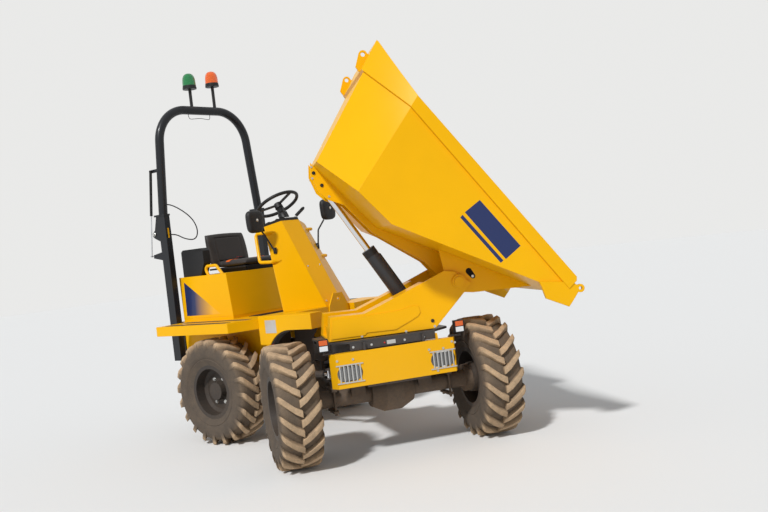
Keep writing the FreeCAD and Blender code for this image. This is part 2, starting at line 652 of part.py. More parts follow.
# Nose: the platform that carries the console, with wings over the front tyres
nose_parts = [box("Platform", (S.deck_front, 0 - S.nose_half, S.nose_z - S.plate),
                  (S.nose_front, S.nose_half, S.nose_z)),
              box("NoseFace", (S.nose_front - S.plate, 0 - S.wing_in, S.wing_low),
                  (S.nose_front, S.wing_in, S.nose_z - S.plate)),
              slab("CentreLug", "X", S.nose_front, S.nose_front + 12, [
                  (-122, S.wing_low), (122, S.wing_low), (110, S.nose_z), (52, 1085), (-52, 1085),
                  (-110, S.nose_z)],
                  holes=[(0, 1040, 18)]),
              box("ValveBlock", (S.nose_front, 130, S.wing_low), (S.nose_front + 60, 270, S.nose_z))]
for side in (-1, 1):
    wing_top = S.nose_z - S.plate
    low, high = across(side, S.wing_in, S.nose_half)
    nose_parts.append(box(f"WingTop{side}", (S.nose_front, low, wing_top), (S.wing_front, high, S.nose_z)))
    nose_parts.append(box(f"WingFace{side}", (S.wing_front - S.plate, low, S.wing_low),
                          (S.wing_front, high, wing_top)))
    low, high = across(side, S.wing_in, S.wing_in + S.plate)
    nose_parts.append(box(f"WingInner{side}", (S.nose_front - S.plate, low, S.wing_low),
                          (S.wing_front, high, wing_top)))
    low, high = across(side, S.nose_half - S.plate, S.nose_half)
    panel = box(f"WingPanel{side}", (S.deck_front, low, S.nose_low), (S.wing_front, high, wing_top))
    nose_parts.append(cut(f"WingArch{side}", panel, [
        rod(f"ArchRound{side}", "Y", (S.arch_x, S.arch_z), low - 1, high + 1, S.arch_rad),
        box(f"ArchFront{side}", (S.arch_x, low - 1, S.nose_low - 1),
            (S.wing_front + 1, high + 1, S.wing_low))]))
node("nose", nose_parts, REAR)

liners = []
for side in (-1, 1):
    low, high = across(side, S.nose_half - 70, S.nose_half - S.plate)
    ring = cut(f"LinerRing{side}", rod(f"LinerOut{side}", "Y", (S.arch_x, S.arch_z), low, high, S.arch_rad),
               [rod(f"LinerIn{side}", "Y", (S.arch_x, S.arch_z), low - 1, high + 1, S.arch_rad - 12)])
    liners.append(common(f"Liner{side}", [ring, box(f"LinerReach{side}",
                                                    (S.arch_x - 300, low - 1, S.nose_low + 4),
                                                    (S.arch_x, high + 1, S.nose_z))]))
node("arch_liners", liners, REAR)


# Console: a tapered cowl with a narrow front, open towards the driver

def console_points(level, inset, back):
    """Plan of the console at a height, pulled in by a wall and pushed back past its rear edge."""
    rise = level - S.nose_z
    front = S.console_front - S.console_lean * rise
    rear = S.console_back - S.console_back_lean * rise
    half = S.console_back_half - S.console_taper * rise
    slant = (half - S.console_half) / (front - rear)
    return [(front - inset, slant * inset + S.console_half - 2 * inset),
            (front - inset, 0 - (slant * inset + S.console_half - 2 * inset)),
            (rear - back, 0 - (half + slant * back - 2 * inset)),
            (rear - back, half + slant * back - 2 * inset)]


peak = S.console_top + 30
cowl = loft("Cowl", [(level, console_points(level, 0, 0)) for level in (S.nose_z, peak)])
hollow = loft("CowlHollow", [(level, console_points(level, S.console_wall, 60))
                             for level in (S.nose_z - 1, peak - 1)])
front_top = S.console_front - S.console_lean * (S.console_top - S.nose_z)
back_top = S.console_back - S.console_back_lean * (S.console_top_back - S.nose_z)
top_slope = (S.console_top - S.console_top_back) / (front_top - back_top)
crop = slab("CowlCrop", "Y", -500, 500, [
    (back_top - 300, S.console_top_back - 300 * top_slope),
    (front_top + 200, S.console_top + 200 * top_slope),
    (front_top + 200, 2100), (back_top - 300, 2100)])
node("console", [cut("CowlOpen", cowl, [hollow, crop])], REAR)


def console_at(level, inset):
    """Rear edge and half width of the console's opening at a height."""
    rise = level - S.nose_z
    rear = S.console_back - S.console_back_lean * rise
    return rear, S.console_back_half - S.console_taper * rise - inset


knee = []
for level in (1300, 1640):
    rear, half = console_at(level, 2 * S.console_wall + 0.4)
    knee.append((level, [(rear + 8, half - 13.2), (rear + 8, 13.2 - half), (rear, 0 - half), (rear, half)]))
node("knee_panel", [loft("Knee", knee)], REAR)

dash_plan = slab("DashPlan", "Z", 1600, 1850, [
    (front_top - 6, S.console_half), (front_top - 6, 0 - S.console_half), (back_top - 60, -250),
    (back_top - 60, 250)])
dash_side = slab("DashSide", "Y", -260, 260, [
    (back_top - 60, S.console_top_back - 60 * top_slope), (front_top, S.console_top),
    (front_top, S.console_top + 26), (back_top - 60, S.console_top_back - 60 * top_slope + 40)])
dash = common("DashShape", [dash_plan, dash_side])
node("dash", [dash], REAR)

# Steering: a column that leans back and a three-spoke wheel on it
COLUMN = Placement(Vector(S.wheel_x.value, 0, S.wheel_z.value), Rotation(LEFT, -S.wheel_lean.value))
column = lathe("Column", "Z", (S.wheel_x, 0, S.wheel_z),
               [(0, -230), (42, -230), (42, -100), (30, -85), (30, -40), (0, -40)])
column.Placement.Rotation = COLUMN.Rotation
node("steering_column", [cut("ColumnFoot", column, [dash, cowl])], REAR)
grip = doc.addObject("Part::Torus", "WheelGrip")
bind(grip, "Radius1", S.wheel_rad)
bind(grip, "Radius2", S.grip_rad)
wheel_parts = [lathe("WheelHub", "Z", (0, 0, 0), [(0, S.gap - 40), (36, S.gap - 40), (30, 6), (0, 10)]), grip]
for turn in (0, 120, 240):
    wheel_parts.append(turned(f"SpokeTurn{turn}", box(f"Spoke{turn}", (10, -14, -14),
                                                      (S.wheel_rad - 6, 14, -4)), turn))
node("steering_wheel", wheel_parts, COLUMN)

# Hand rails and mirrors beside the console, trimmed to its faces
rails, mirrors = [], []
for side in (-1, 1):
    rails.append(tube(f"HandRail{side}", [
        (-508, side * 180, 1630), (-530, side * 285, 1634), (-622, side * 288, 1638),
        (-537, side * 352, 1398),
        (-432, side * 326, 1392), (-410, side * 210, 1390)], 14, 26))
    lift = 30 * side
    mirrors.append(tube(f"MirrorRod{side}", [
        (-450, side * 258, 1480), (-484, side * 318, 1620), (-446, side * 430, 1740 + lift)], 7, 40))
    mirrors.append(rod(f"MirrorClamp{side}", "Z", (-450, side * 252), 1456, 1506, 15))
    mirrors.append(slab(f"MirrorHead{side}", "X", -468, -426, [
        (side * 352, 1690 + lift), (side * 372, 1668 + lift), (side * 492, 1674 + lift),
        (side * 512, 1696 + lift),
        (side * 522, 1830 + lift), (side * 500, 1850 + lift), (side * 366, 1850 + lift),
        (side * 344, 1830 + lift)]))
node("handrails", [cut("RailEnds", fuse("RailPair", rails), [cowl])], REAR)
node("mirrors", [cut("MirrorFeet", fuse("MirrorPair", mirrors), [cowl])], REAR)

# Pedals, tail lamps and the lock bar that is stowed on the right wheel panel
pedals = []
for side in (-1, 1):
    pedals.append(slab(f"Pedal{side}", "Y", side * 150 - 45, side * 150 + 45, [
        (-330, 985), (-318, 985), (-262, 1100), (-270, 1106)]))
node("pedals", pedals, REAR)
lamps = []
for side in (-1, 1):
    low, high = across(side, 370, 460)
    lamps.append(box(f"TailLamp{side}", (S.rail_back - S.heavy - 30, low, 790),
                     (S.rail_back - S.heavy, high, 850)))
node("tail_lamps", lamps, REAR)
node("lock_bar", [box("LockBar", (S.deck_front, 0 - deck_in, S.fender_low + 10),
                      (S.deck_front + 14, 20 - deck_in, S.nose_low - S.plate))], REAR)

# Engine cover: a tapered lid with louvres at the rear, hinged along its rear edge

def cover_points(level, inset):
    share = (level - S.cover_low) / (S.cover_top - S.cover_low)
    back = S.cover_back + (S.cover_back_top - S.cover_back) * share + inset
    front = S.cover_front + (S.cover_front_top - S.cover_front) * share - inset
    half = S.cover_half + (S.cover_half_top - S.cover_half) * share - inset
    return [(back, 0 - half), (front, 0 - half), (front, half), (back, half)]


cover = loft("Cover", [(level, cover_points(level, 0)) for level in (S.cover_low, S.cover_top)])
room = loft("CoverRoom", [(level, cover_points(level, S.cover_wall))
                          for level in (S.cover_low - 1, S.cover_top - S.cover_wall)])
louvres = [box(f"Louvre{step}", (S.cover_back_top - 20, -300, 1060 + 45 * step),
               (S.cover_back + 20, 300, 1082 + 45 * step)) for step in range(5)]
lid = [cut("CoverOpen", cover, [room] + louvres)]
for side in (-1, 1):
    low, high = across(side, 200, 240)
    leaf = box(f"CoverLeaf{side}", (S.hinge_x, low, S.hinge_z), (S.cover_back, high, S.hinge_z + S.hinge_rad))
    knuckle = rod(f"CoverKnuckle{side}", "Y", (S.hinge_x, S.hinge_z), low, high, S.hinge_rad)
    lid.append(cut(f"CoverHinge{side}", fuse(f"CoverHingeWhole{side}", [leaf, knuckle]), [
        rod(f"CoverHingeBore{side}", "Y", (S.hinge_x, S.hinge_z), low - 1, high + 1, S.hinge_pin + S.gap)]))
node("engine_cover", lid, REAR)
handle_top = S.cover_top + 74
handle = tube("CoverHandle", [(-1085, -438, S.cover_top - 20), (-1140, -438, handle_top),
                              (-985, -438, handle_top),
                              (-900, -438, S.cover_top - 20)], 13, 30)
node("cover_handle", [cut("HandleEnds", handle, [cover])], REAR)
node("side_guard", [slab("SideGuard", "Y", -440, -365, [
    (-1425, S.cover_top), (-1425, 1560), (-1400, 1578), (-1160, 1578), (-1135, 1555), (-1135, 1450),
    (-1190, S.cover_top)])], REAR)
pan = S.cover_top + 30
node("seat_base", [box("Bellows", (-1220, -190, S.cover_top), (-900, 190, pan)),
                   box("SeatPan", (-1330, -225, pan), (-860, 225, pan + 15))], REAR)
seat = pan + 15 + S.gap
node("seat_cushion", [box("Cushion", (-1255, -240, seat), (-840, 240, seat + 66))], REAR)
node("seat_back", [slab("BackCushion", "Y", -225, 225, [
    (-1328, seat), (-1258, seat), (-1272, seat + 90), (-1320, seat + 310), (-1385, seat + 300)])], REAR)

# Roll-over hoop: lower legs bolted to the frame, and a hoop that folds back on two pins
legs, hoop_parts = [], []
leg_front = S.leg_back + S.leg_deep
hoop_x = S.leg_back + S.leg_deep / 2
mid = S.leg_in + S.leg_wide / 2
for side in (-1, 1):
    low, high = across(side, S.leg_in, S.leg_in + S.leg_wide)
    legs.append(box(f"Leg{side}", (S.leg_back, low, S.leg_low), (leg_front, high, S.leg_top)))
    for near, far in ((4, 14), (42, 52)):
        low, high = across(side, S.leg_in + near, S.leg_in + far)
        legs.append(slab(f"FoldEar{side}{near}", "Y", low, high, [
            (S.leg_back, S.fold_z - 70), (S.leg_back, S.fold_z + 60), (S.fold_x, S.fold_z + 30),
            (S.fold_x - 28, S.fold_z + 8), (S.fold_x - 28, S.fold_z - 22), (S.fold_x, S.fold_z - 40)]))
    low, high = across(side, S.leg_in + 4, S.leg_in + 52)
    legs.append(rod(f"FoldPin{side}", "Y", (S.fold_x, S.fold_z), low, high, S.fold_rad))
    low, high = across(side, S.leg_in + 20, S.leg_in + 36)
    hoop_parts.append(slab(f"Tongue{side}", "Y", low, high, [
        (S.leg_back - 5, S.leg_top + 16), (S.leg_back - 5, S.fold_z + 70), (S.fold_x + 30, S.fold_z),
        (S.fold_x + 15, S.fold_z - 26), (S.fold_x - 15, S.fold_z - 26), (S.fold_x - 28, S.fold_z),
        (S.leg_back - 45, S.leg_top + 16)], holes=[(S.fold_x, S.fold_z, S.fold_rad + S.gap)]))
    low, high = across(side, S.leg_in - 4, S.leg_in + S.leg_wide + 4)
    hoop_parts.append(box(f"HoopFoot{side}", (S.leg_back - 45, low, S.leg_top + S.gap),
                          (leg_front + 4, high, S.leg_top + 16)))
hoop_bar = tube("Hoop", [
    (hoop_x, 0 - mid, S.leg_top + 8), (hoop_x, 0 - S.hoop_half, S.hoop_top),
    (hoop_x, S.hoop_half, S.hoop_top),
    (hoop_x, mid, S.leg_top + 8)], S.hoop_rad, S.hoop_bend)
hoop_parts.append(hoop_bar)
hoop_parts.append(box("StrutLug", (S.strut_x - 14, 0 - mid - 5, S.strut_z - 14),
                      (hoop_x, 5 - mid, S.strut_z + 14)))
legs.append(slab("StrutBracket", "Y", 0 - mid - 5, 5 - mid, [
    (S.leg_back, S.strut_foot_z - 50), (S.leg_back, S.strut_foot_z + 30),
    (S.strut_foot_x + 10, S.strut_foot_z + 8),
    (S.strut_foot_x + 10, S.strut_foot_z - 20)]))
node("rops_legs", legs, REAR)
node("rops_hoop", hoop_parts, REAR)

BEACONS = [("green", -100, 190), ("amber", 165, 225)]
posts = []
for colour, place, reach in BEACONS:
    top = S.hoop_top + reach
    posts.append(rod("Post" + colour, "Z", (hoop_x, place), S.hoop_top, top, 14))
    posts.append(rod("PostFoot" + colour, "Z", (hoop_x, place), top, top + 16, 62))
    node("beacon_" + colour, [lathe("Beacon" + colour, "Z", (hoop_x, place, top + 16 + S.gap),
                                    [(0, 0), (60, 0), (57, 70), (46, 105), (22, 122), (0, 126)])], REAR)
node("beacon_posts", [cut("PostFeet", fuse("PostPair", posts), [hoop_bar])], REAR)

# Cables: a loop of slack from the hoop to its leg across the fold, and the lead between the beacons.
# Their points are chosen by hand.
outer_y, under_z = 8 - mid, S.hoop_top - S.hoop_rad - S.gap
CABLES = [
    # name, radius, bend, points
    ("hoop_cable", 5, 45, [
        (hoop_x + S.hoop_rad + S.gap, outer_y, 1985), (-1350, outer_y, 1985), (-1115, outer_y + 8, 1855),
        (-1040, outer_y + 10, 1735), (-1080, outer_y + 8, 1650), (-1210, outer_y, 1668),
        (-1335, outer_y, 1725), (leg_front + S.gap, outer_y, 1725)]),
    ("beacon_cable", 2.5, 20, [
        (hoop_x, -150, under_z), (hoop_x, -150, 2740), (hoop_x, -90, 2744), (hoop_x, -20, 2752),
        (hoop_x, 50, 2744), (hoop_x, 95, 2740), (hoop_x, 95, under_z)])]
for name, radius, bend, points in CABLES:
    node(name, [tube("Lead" + name.split("_")[0], points, radius, bend)], REAR)

# Front frame: fork plates on the articulation pin, a box of side plates and cross plates
fork_low, fork_top = S.boss_low - S.fork_step, S.boss_top + S.fork_step
front_parts = [rod("KingPin", "Z", (0, 0), fork_low - S.fork_thick - 10, fork_top + S.fork_thick + 10,
                   S.king_rad)]
for place, level in (("Low", fork_low - S.fork_thick), ("High", fork_top)):
    front_parts.append(slab("Fork" + place, "Z", level, level + S.fork_thick, [
        (-60, -35), (-60, 35), (-20, 70), (60, 85), (S.front_back, S.front_half),
        (S.front_back, 0 - S.front_half),
        (60, -85), (-20, -70)]))
front_out = S.front_half + S.heavy
for side in (-1, 1):
    low, high = across(side, S.front_half, front_out)
    front_parts.append(slab(f"FrontSide{side}", "Y", low, high, [
        (S.front_back, S.boss_low - 40), (S.front_back, 760), (S.table_back, S.table_z - S.heavy),
        (S.face_x, S.table_z - S.heavy), (S.face_x, S.front_low), (S.front_back + 120, S.front_low)]))
for place, level in (("Low", ear_low - 8), ("High", ear_top)):
    front_parts.append(slab("EyeEar" + place, "Z", level, level + 8, [
        (S.front_back + 20, 0 - front_out), (S.front_back + 10, S.steer_eye_y - 20),
        (S.steer_eye_x, S.steer_eye_y - 28),
        (S.steer_eye_x - 28, S.steer_eye_y), (S.steer_eye_x - 15, S.steer_eye_y + 25),
        (S.front_back, 0 - S.front_half),
        (S.front_back + 20, 0 - S.front_half)]))
for place, low, high in (("Low", ear_low - 13, ear_low - 8), ("High", ear_top + 8, ear_top + 13)):
    front_parts.append(rod("EyePinHead" + place, "Z", (S.steer_eye_x, S.steer_eye_y), low, high, 16))
front_parts += [
    box("FrontBulkhead", (S.front_back, 0 - S.front_half, S.boss_low - 40),
        (S.front_back + S.heavy, S.front_half, 760)),
    box("FrontCross", (S.face_x - S.heavy, 0 - S.front_half, S.front_low),
        (S.face_x, S.front_half, S.face_top)),
    box("MidCross", (S.table_x - 20, 0 - S.front_half, 640),
        (S.table_x - 5, S.front_half, S.table_z - S.heavy))]
node("front_frame", front_parts, FRONT)

# Front plate with its lamp openings, top flange, wings and bottom shelf
face_front = S.face_x + 10
openings = []
for side in (-1, 1):
    centre = side * S.lamp_y
    flat = S.lamp_wide / 2 - S.lamp_high / 2
    openings.append(box(f"LampSlot{side}", (S.face_x - 1, centre - flat, S.lamp_z - S.lamp_high / 2),
                        (face_front + 1, centre + flat, S.lamp_z + S.lamp_high / 2)))
    for end in (-1, 1):
        openings.append(rod(f"LampRound{side}{end}", "X", (centre + end * flat, S.lamp_z),
                            S.face_x - 1, face_front + 1, S.lamp_high / 2))
face = cut("FacePlate", box("FaceSheet", (S.face_x, 0 - S.face_wing + 30, S.face_low),
                            (face_front, S.face_wing - 30, S.face_top)), openings)
face_parts = [face]
for side in (-1, 1):
    low, high = across(side, front_out, S.face_wing - 30)
    face_parts.append(box(f"FaceTop{side}", (S.face_x - 50, low, S.face_top - S.plate),
                          (S.face_x, high, S.face_top)))
    face_parts.append(box(f"FaceShelf{side}", (S.face_x - 60, low, S.face_low),
                          (S.face_x, high, S.face_low + S.plate)))
    face_parts.append(slab(f"FaceWing{side}", "Z", S.face_low, S.face_top, [
        (face_front, side * (S.face_wing - 30)), (S.face_x, side * (S.face_wing - 30)),
        (S.face_x - 55, side * (S.face_wing - 10)), (S.face_x - 55, side * S.face_wing)]))
node("front_plate", face_parts, FRONT)

head_lamps, guards, lamp_posts, side_lamps = [], [], [], []
for side in (-1, 1):
    low, high = side * S.lamp_y - S.lamp_wide / 2 + 6, side * S.lamp_y + S.lamp_wide / 2 - 6
    head_lamps.append(box(f"HeadLamp{side}", (S.face_x - 50, low, S.lamp_z - S.lamp_high / 2 + 6),
                          (S.face_x - S.gap, high, S.lamp_z + S.lamp_high / 2 - 6)))
    bar = S.lamp_high / 2 + 2
    guards.append(box(f"GuardTop{side}", (face_front, low - 12, S.lamp_z + bar),
                      (face_front + 6, high + 12, S.lamp_z + bar + 8)))
    guards.append(box(f"GuardLow{side}", (face_front, low - 12, S.lamp_z - bar - 8),
                      (face_front + 6, high + 12, S.lamp_z - bar)))
    for step in range(6):
        start = low + 8 + step * (high - low - 24) / 5
        guards.append(box(f"GuardBar{side}{step}", (face_front, start, S.lamp_z - bar - 2),
                          (face_front + 6, start + 8, S.lamp_z + bar + 2)))
    place = side * S.side_lamp_y
    low, high = across(side, S.face_wing - 40, S.side_lamp_y + 8)
    lamp_posts.append(box(f"LampArm{side}", (S.side_lamp_x - 8, low, S.face_top),
                          (S.side_lamp_x + 8, high, S.face_top + 10)))
    lamp_posts.append(box(f"LampPost{side}", (S.side_lamp_x - 8, place - 8, S.face_top),
                          (S.side_lamp_x + 8, place + 8, S.side_lamp_z - 42)))
    side_lamps.append(box(f"SideLamp{side}", (S.side_lamp_x - 22, place - 34, S.side_lamp_z - 42),
                          (S.side_lamp_x + 22, place + 34, S.side_lamp_z + 42)))
node("headlamps", head_lamps, FRONT)
node("lamp_guards", guards, FRONT)
node("lamp_posts", lamp_posts, FRONT)
node("side_lamps", side_lamps, FRONT)

turn_plate = slab("TurnPlate", "Z", S.table_z - S.heavy, S.table_z, [
    (S.table_front, -300), (S.table_front, 300), (S.table_front - 120, S.table_half),
    (S.table_back + 130, S.table_half),
    (S.table_back, 300), (S.table_back, -300), (S.table_back + 130, 0 - S.table_half),
    (S.table_front - 120, 0 - S.table_half)])
ring = rod("BearingRing", "Z", (S.table_x, 0), S.table_z, S.swivel_z - S.gap, 245)
node("turntable", [turn_plate, ring], FRONT)

# Swivel frame: a base, two box arms rising to the skip pivot and a rear cross plate
arm_top = [(S.arm_back, S.swivel_z), (S.arm_back + 25, S.arm_flat), (-118, S.arm_flat - 4), (96, 1060),
           (306, 1141)]
inner = arm_top + [(306, S.swivel_z)]
outer = arm_top + [(459, 1202), (530, 1188), (642, 1095), (S.arm_foot, S.swivel_z)]
base_top = S.swivel_z + S.heavy
frame_parts = [box("SwivelBase", (S.arm_back, 0 - S.arm_out, S.swivel_z), (S.arm_foot, S.arm_out, base_top)),
               box("RearCross", (S.arm_back + 25, 0 - S.arm_in, base_top), (S.arm_back + 37, S.arm_in, 900))]
for side in (-1, 1):
    low, high = across(side, S.arm_out - S.arm_plate, S.arm_out)
    frame_parts.append(slab(f"ArmOuter{side}", "Y", low, high, outer,
                            holes=[(S.pivot_x, S.pivot_z, S.pivot_rad + S.gap)]))
    low, high = across(side, S.arm_in, S.arm_in + S.arm_plate)
    frame_parts.append(slab(f"ArmInner{side}", "Y", low, high, inner, holes=[(S.ram_x, S.ram_z, 22)]))
    low, high = across(side, S.arm_in, S.arm_out)
    skin = S.arm_plate
    frame_parts.append(slab(f"ArmSkin{side}", "Y", low, high, [
        (S.arm_back, S.swivel_z), (S.arm_back + 25, S.arm_flat), (-118, S.arm_flat - 4), (96, 1060),
        (306, 1141),
        (306 + skin / 2, 1141 - skin), (96, 1060 - skin), (-118, S.arm_flat - 4 - skin),
        (S.arm_back + 37, S.arm_flat - skin), (S.arm_back + 14, S.swivel_z)]))
    low, high = across(side, S.arm_out, S.arm_out + 14)
    frame_parts.append(cut(f"PivotBoss{side}", rod(f"BossDisc{side}", "Y", (S.pivot_x, S.pivot_z), low, high,
                                                   48),
                           [rod(f"BossBore{side}", "Y", (S.pivot_x, S.pivot_z), low - 1, high + 1,
                                S.pivot_rad + S.gap)]))
node("swivel_frame", frame_parts, SWIVEL)


# Skip: a hopper with folded rear corners, a floor that rises to the lip and a band round the rim

def skip_points(share, out):
    """Plan of the skip from floor (0) to rim (1), grown outward."""
    back = S.back_x_low + (S.back_x_top - S.back_x_low) * share - out
    back_half = S.back_half_low + (S.back_half_top - S.back_half_low) * share + 0.64 * out
    fold = S.fold_x_low + (S.fold_x_top - S.fold_x_low) * share - 0.22 * out
    half = S.skip_half_low + (S.skip_half - S.skip_half_low) * share + out
    front = S.lip_x + 60
    return [(front, 0 - half), (front, half), (fold, half), (back, back_half), (back, 0 - back_half),
            (fold, 0 - half)]


def skip_form(name, out):
    reach = S.skip_rim - S.skip_floor
    return loft(name, [(S.skip_floor - 0.1 * reach, skip_points(-0.1, out)),
                       (S.skip_rim + 0.2 * reach, skip_points(1.2, out))])


def skip_side(name, points):
    return slab(name, "Y", -900, 900, points)


rim = [(S.lip_x - 18, S.lip_rim), (S.fold_x_top, S.skip_rim), (S.back_x_top - 40, S.rim_raised),
       (-1600, S.rim_raised)]
outside = skip_side("SkipSide", [(-1600, S.skip_floor), (S.slope_x, S.skip_floor), (S.lip_x, S.lip_z)] + rim)
wall = S.skip_wall
floor_rise = (S.lip_z - S.skip_floor) / (S.lip_x - S.slope_x)
inside = skip_side("SkipSideIn", [
    (-1600, S.skip_floor + wall), (S.slope_x + 0.24 * wall - 3, S.skip_floor + wall),
    (S.lip_x + 90, S.lip_z + 90 * floor_rise + 1.1 * wall), (S.lip_x + 90, S.lip_rim + 200),
    (-1600, S.rim_raised + 200)])
band = skip_side("SkipBand", [
    (-1600, S.band_back), (S.fold_x_top, S.band_back), (S.lip_x, S.band_front),
    (S.lip_x, S.lip_rim - 20)] + rim)
shell = fuse("SkipWhole", [common("SkipBody", [skip_form("SkipForm", 0), outside]),
                           common("SkipRim", [skip_form("SkipRimForm", S.rim_out), band])])
skip_parts = [cut("SkipShell", shell, [common("SkipRoom", [skip_form("SkipRoomForm", 0 - wall), inside])])]
for side in (-1, 1):
    low, high = across(side, S.skip_half - 12, S.skip_half + 10)
    tab = slab(f"LipTab{side}", "Y", low, high, [
        (300, S.lip_z - 75), (336, 287), (411, 253), (560, 323), (552, 372), (530, 470), (460, 450)])
    ring = rod(f"LipRing{side}", "Y", (532, 462), low, high, 27)
    skip_parts.append(cut(f"LipLug{side}", fuse(f"LipLugWhole{side}", [tab, ring]), [
        rod(f"LipHole{side}", "Y", (532, 462), low - 1, high + 1, 12)]))
    low, high = across(side, 440, 455)
    eye = slab(f"EyePlate{side}", "Y", low, high, [
        (-1470, 505), (-1512, 512), (-1561, 594), (-1546, 632), (-1480, 632)])
    ring = rod(f"EyeRing{side}", "Y", (-1535, 606), low, high, 28)
    skip_parts.append(cut(f"LiftEye{side}", fuse(f"LiftEyeWhole{side}", [eye, ring]), [
        rod(f"EyeHole{side}", "Y", (-1535, 606), low - 1, high + 1, 15)]))
node("skip", skip_parts, SKIP)

# Underframe of the skip: two girder plates with the ram eye, hinge cheeks and the pivot tube
under = []
for side in (-1, 1):
    low, high = across(side, S.girder_in, S.girder_in + S.arm_plate)
    under.append(slab(f"Girder{side}", "Y", low, high, [
        (-1291, S.skip_floor), (-1225, -170), (-1110, -212), (-1030, -205), (-920, -150), (S.slope_x, -150),
        (-235, -40),
        (-60, -45), (0, S.skip_floor - S.slope_x * floor_rise), (S.slope_x, S.skip_floor)]))
    low, high = across(side, S.cheek_out - S.arm_plate, S.cheek_out)
    under.append(slab(f"Cheek{side}", "Y", low, high, [
        (-250, S.skip_floor + (-250 - S.slope_x) * floor_rise), (-130, -10), (-50, -58), (40, -62), (130, 20),
        (400, S.skip_floor + (400 - S.slope_x) * floor_rise)]))
    low, high = across(side, S.cheek_out - S.arm_plate, S.arm_out + 22)
    under.append(rod(f"PivotPin{side}", "Y", (0, 0), low, high, S.pivot_rad))
    low, high = across(side, S.arm_out + 14.5, S.arm_out + 22)
    under.append(rod(f"PivotCap{side}", "Y", (0, 0), low, high, 34))
under.append(rod("PivotTube", "Y", (0, 0), 0 - S.cheek_out, S.cheek_out, 42))
node("skip_frame", under, SKIP)

# Rams: a barrel with an eye at its foot, and a rod with its pin at the far end

def ram_pose(foot, eye, pin):
    """Stand a ram on its foot: Z runs towards the eye, Y along the pins."""
    along = (eye - foot).normalize()
    return Placement(foot, Rotation(pin.cross(along), pin, along, "ZYX"))


def ram(name, foot, eye, pin, long, depth, shut, rad, rod_rad, barrel_pin, rod_pin):
    """The rod reaches into the barrel's bore, by depth when the ram is shut.

    Pins are (half length of the eye, its radius, half length of the pin, its radius).
    """
    pose, reach = ram_pose(foot, eye, pin), (eye - foot).Length
    pieces = []
    for place, height, (half, eye_rad, pin_half, pin_rad) in (("Foot", 0, barrel_pin),
        ("Eye", reach, rod_pin)):
        pieces.append([rod(name + place, "Y", (0, height), 0 - half, half, eye_rad),
                       rod(name + place + "Pin", "Y", (0, height), 0 - pin_half, pin_half, pin_rad)])
    pieces[0].append(cut(name + "Barrel", rod(name + "Tube", "Z", (0, 0), 0, long, rad), [
        rod(name + "Bore", "Z", (0, 0), depth, long + 1, rod_rad + S.rod_gap)]))
    pieces[1].append(rod(name + "Rod", "Z", (0, 0), depth + S.bore_end + reach - shut, reach, rod_rad))
    node(name + "_barrel", pieces[0], pose)
    node(name + "_rod", pieces[1], pose)


ram("tip", SWIVEL * Vector(S.ram_x.value, 0, S.ram_z.value), SKIP * Vector(S.eye_x.value, 0, S.eye_z.value),
    SWIVEL.Rotation * LEFT, S.ram_long, 215, 783, S.ram_rad, S.rod_rad,
    (40, 42, S.arm_in + 10, 20), (40, 32, S.girder_in - 1, 20))
steer_foot = Vector(S.steer_foot_x.value, S.steer_foot_y.value, S.steer_z.value)
steer_eye = FRONT * Vector(S.steer_eye_x.value, S.steer_eye_y.value, S.steer_z.value)
ram("steer", steer_foot, steer_eye, UP, 395, 50, 450, 26, 14,
    (28, 22, S.ear_gap / 2 + 7, 12.7), (28, 20, S.ear_gap / 2 - 0.5, 12.7))
strut_foot = Vector(S.strut_foot_x.value, -mid.value - 18, S.strut_foot_z.value)
strut_head = Vector(S.strut_x.value, -mid.value - 18, S.strut_z.value)
ram("strut", strut_head, strut_foot, LEFT, 385, 90, 486, 12, 6, (8, 11, 12.7, 6), (8, 9, 12.7, 5))


def check(items):
    """Every object has to be sound before anything is written."""
    for item in items:
        if "Invalid" in item.State or "Error" in item.State:
            raise RuntimeError(f"{item.Label} did not compute: {item.State}")


doc.recompute()
check(doc.Objects)
whole = FreeCAD.BoundBox()
for item, pose in NODES:
    item.Placement = pose
    for corner in item.Shape.tessellate(1.0)[0]:
        whole.add(corner)
middle = Placement(Vector(-whole.Center.x, -whole.Center.y, -whole.ZMin), Rotation())
for item, pose in NODES:
    item.Placement = middle * pose
check([item for item, pose in NODES])

os.makedirs("parts", exist_ok=True)
for item, pose in NODES:
    if item.Shape.isNull() or not item.Shape.isValid():
        raise RuntimeError(f"{item.Label} has no valid shape")
    item.Shape.exportStep(f"parts/{item.Label}.step")
print(len(NODES), "pieces,", f"{whole.XLength:.0f} x {whole.YLength:.0f} x {whole.ZLength:.0f} mm")
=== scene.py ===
import json
import math

import bmesh
import bpy
from mathutils import Matrix, Vector
from mathutils.bvhtree import BVHTree


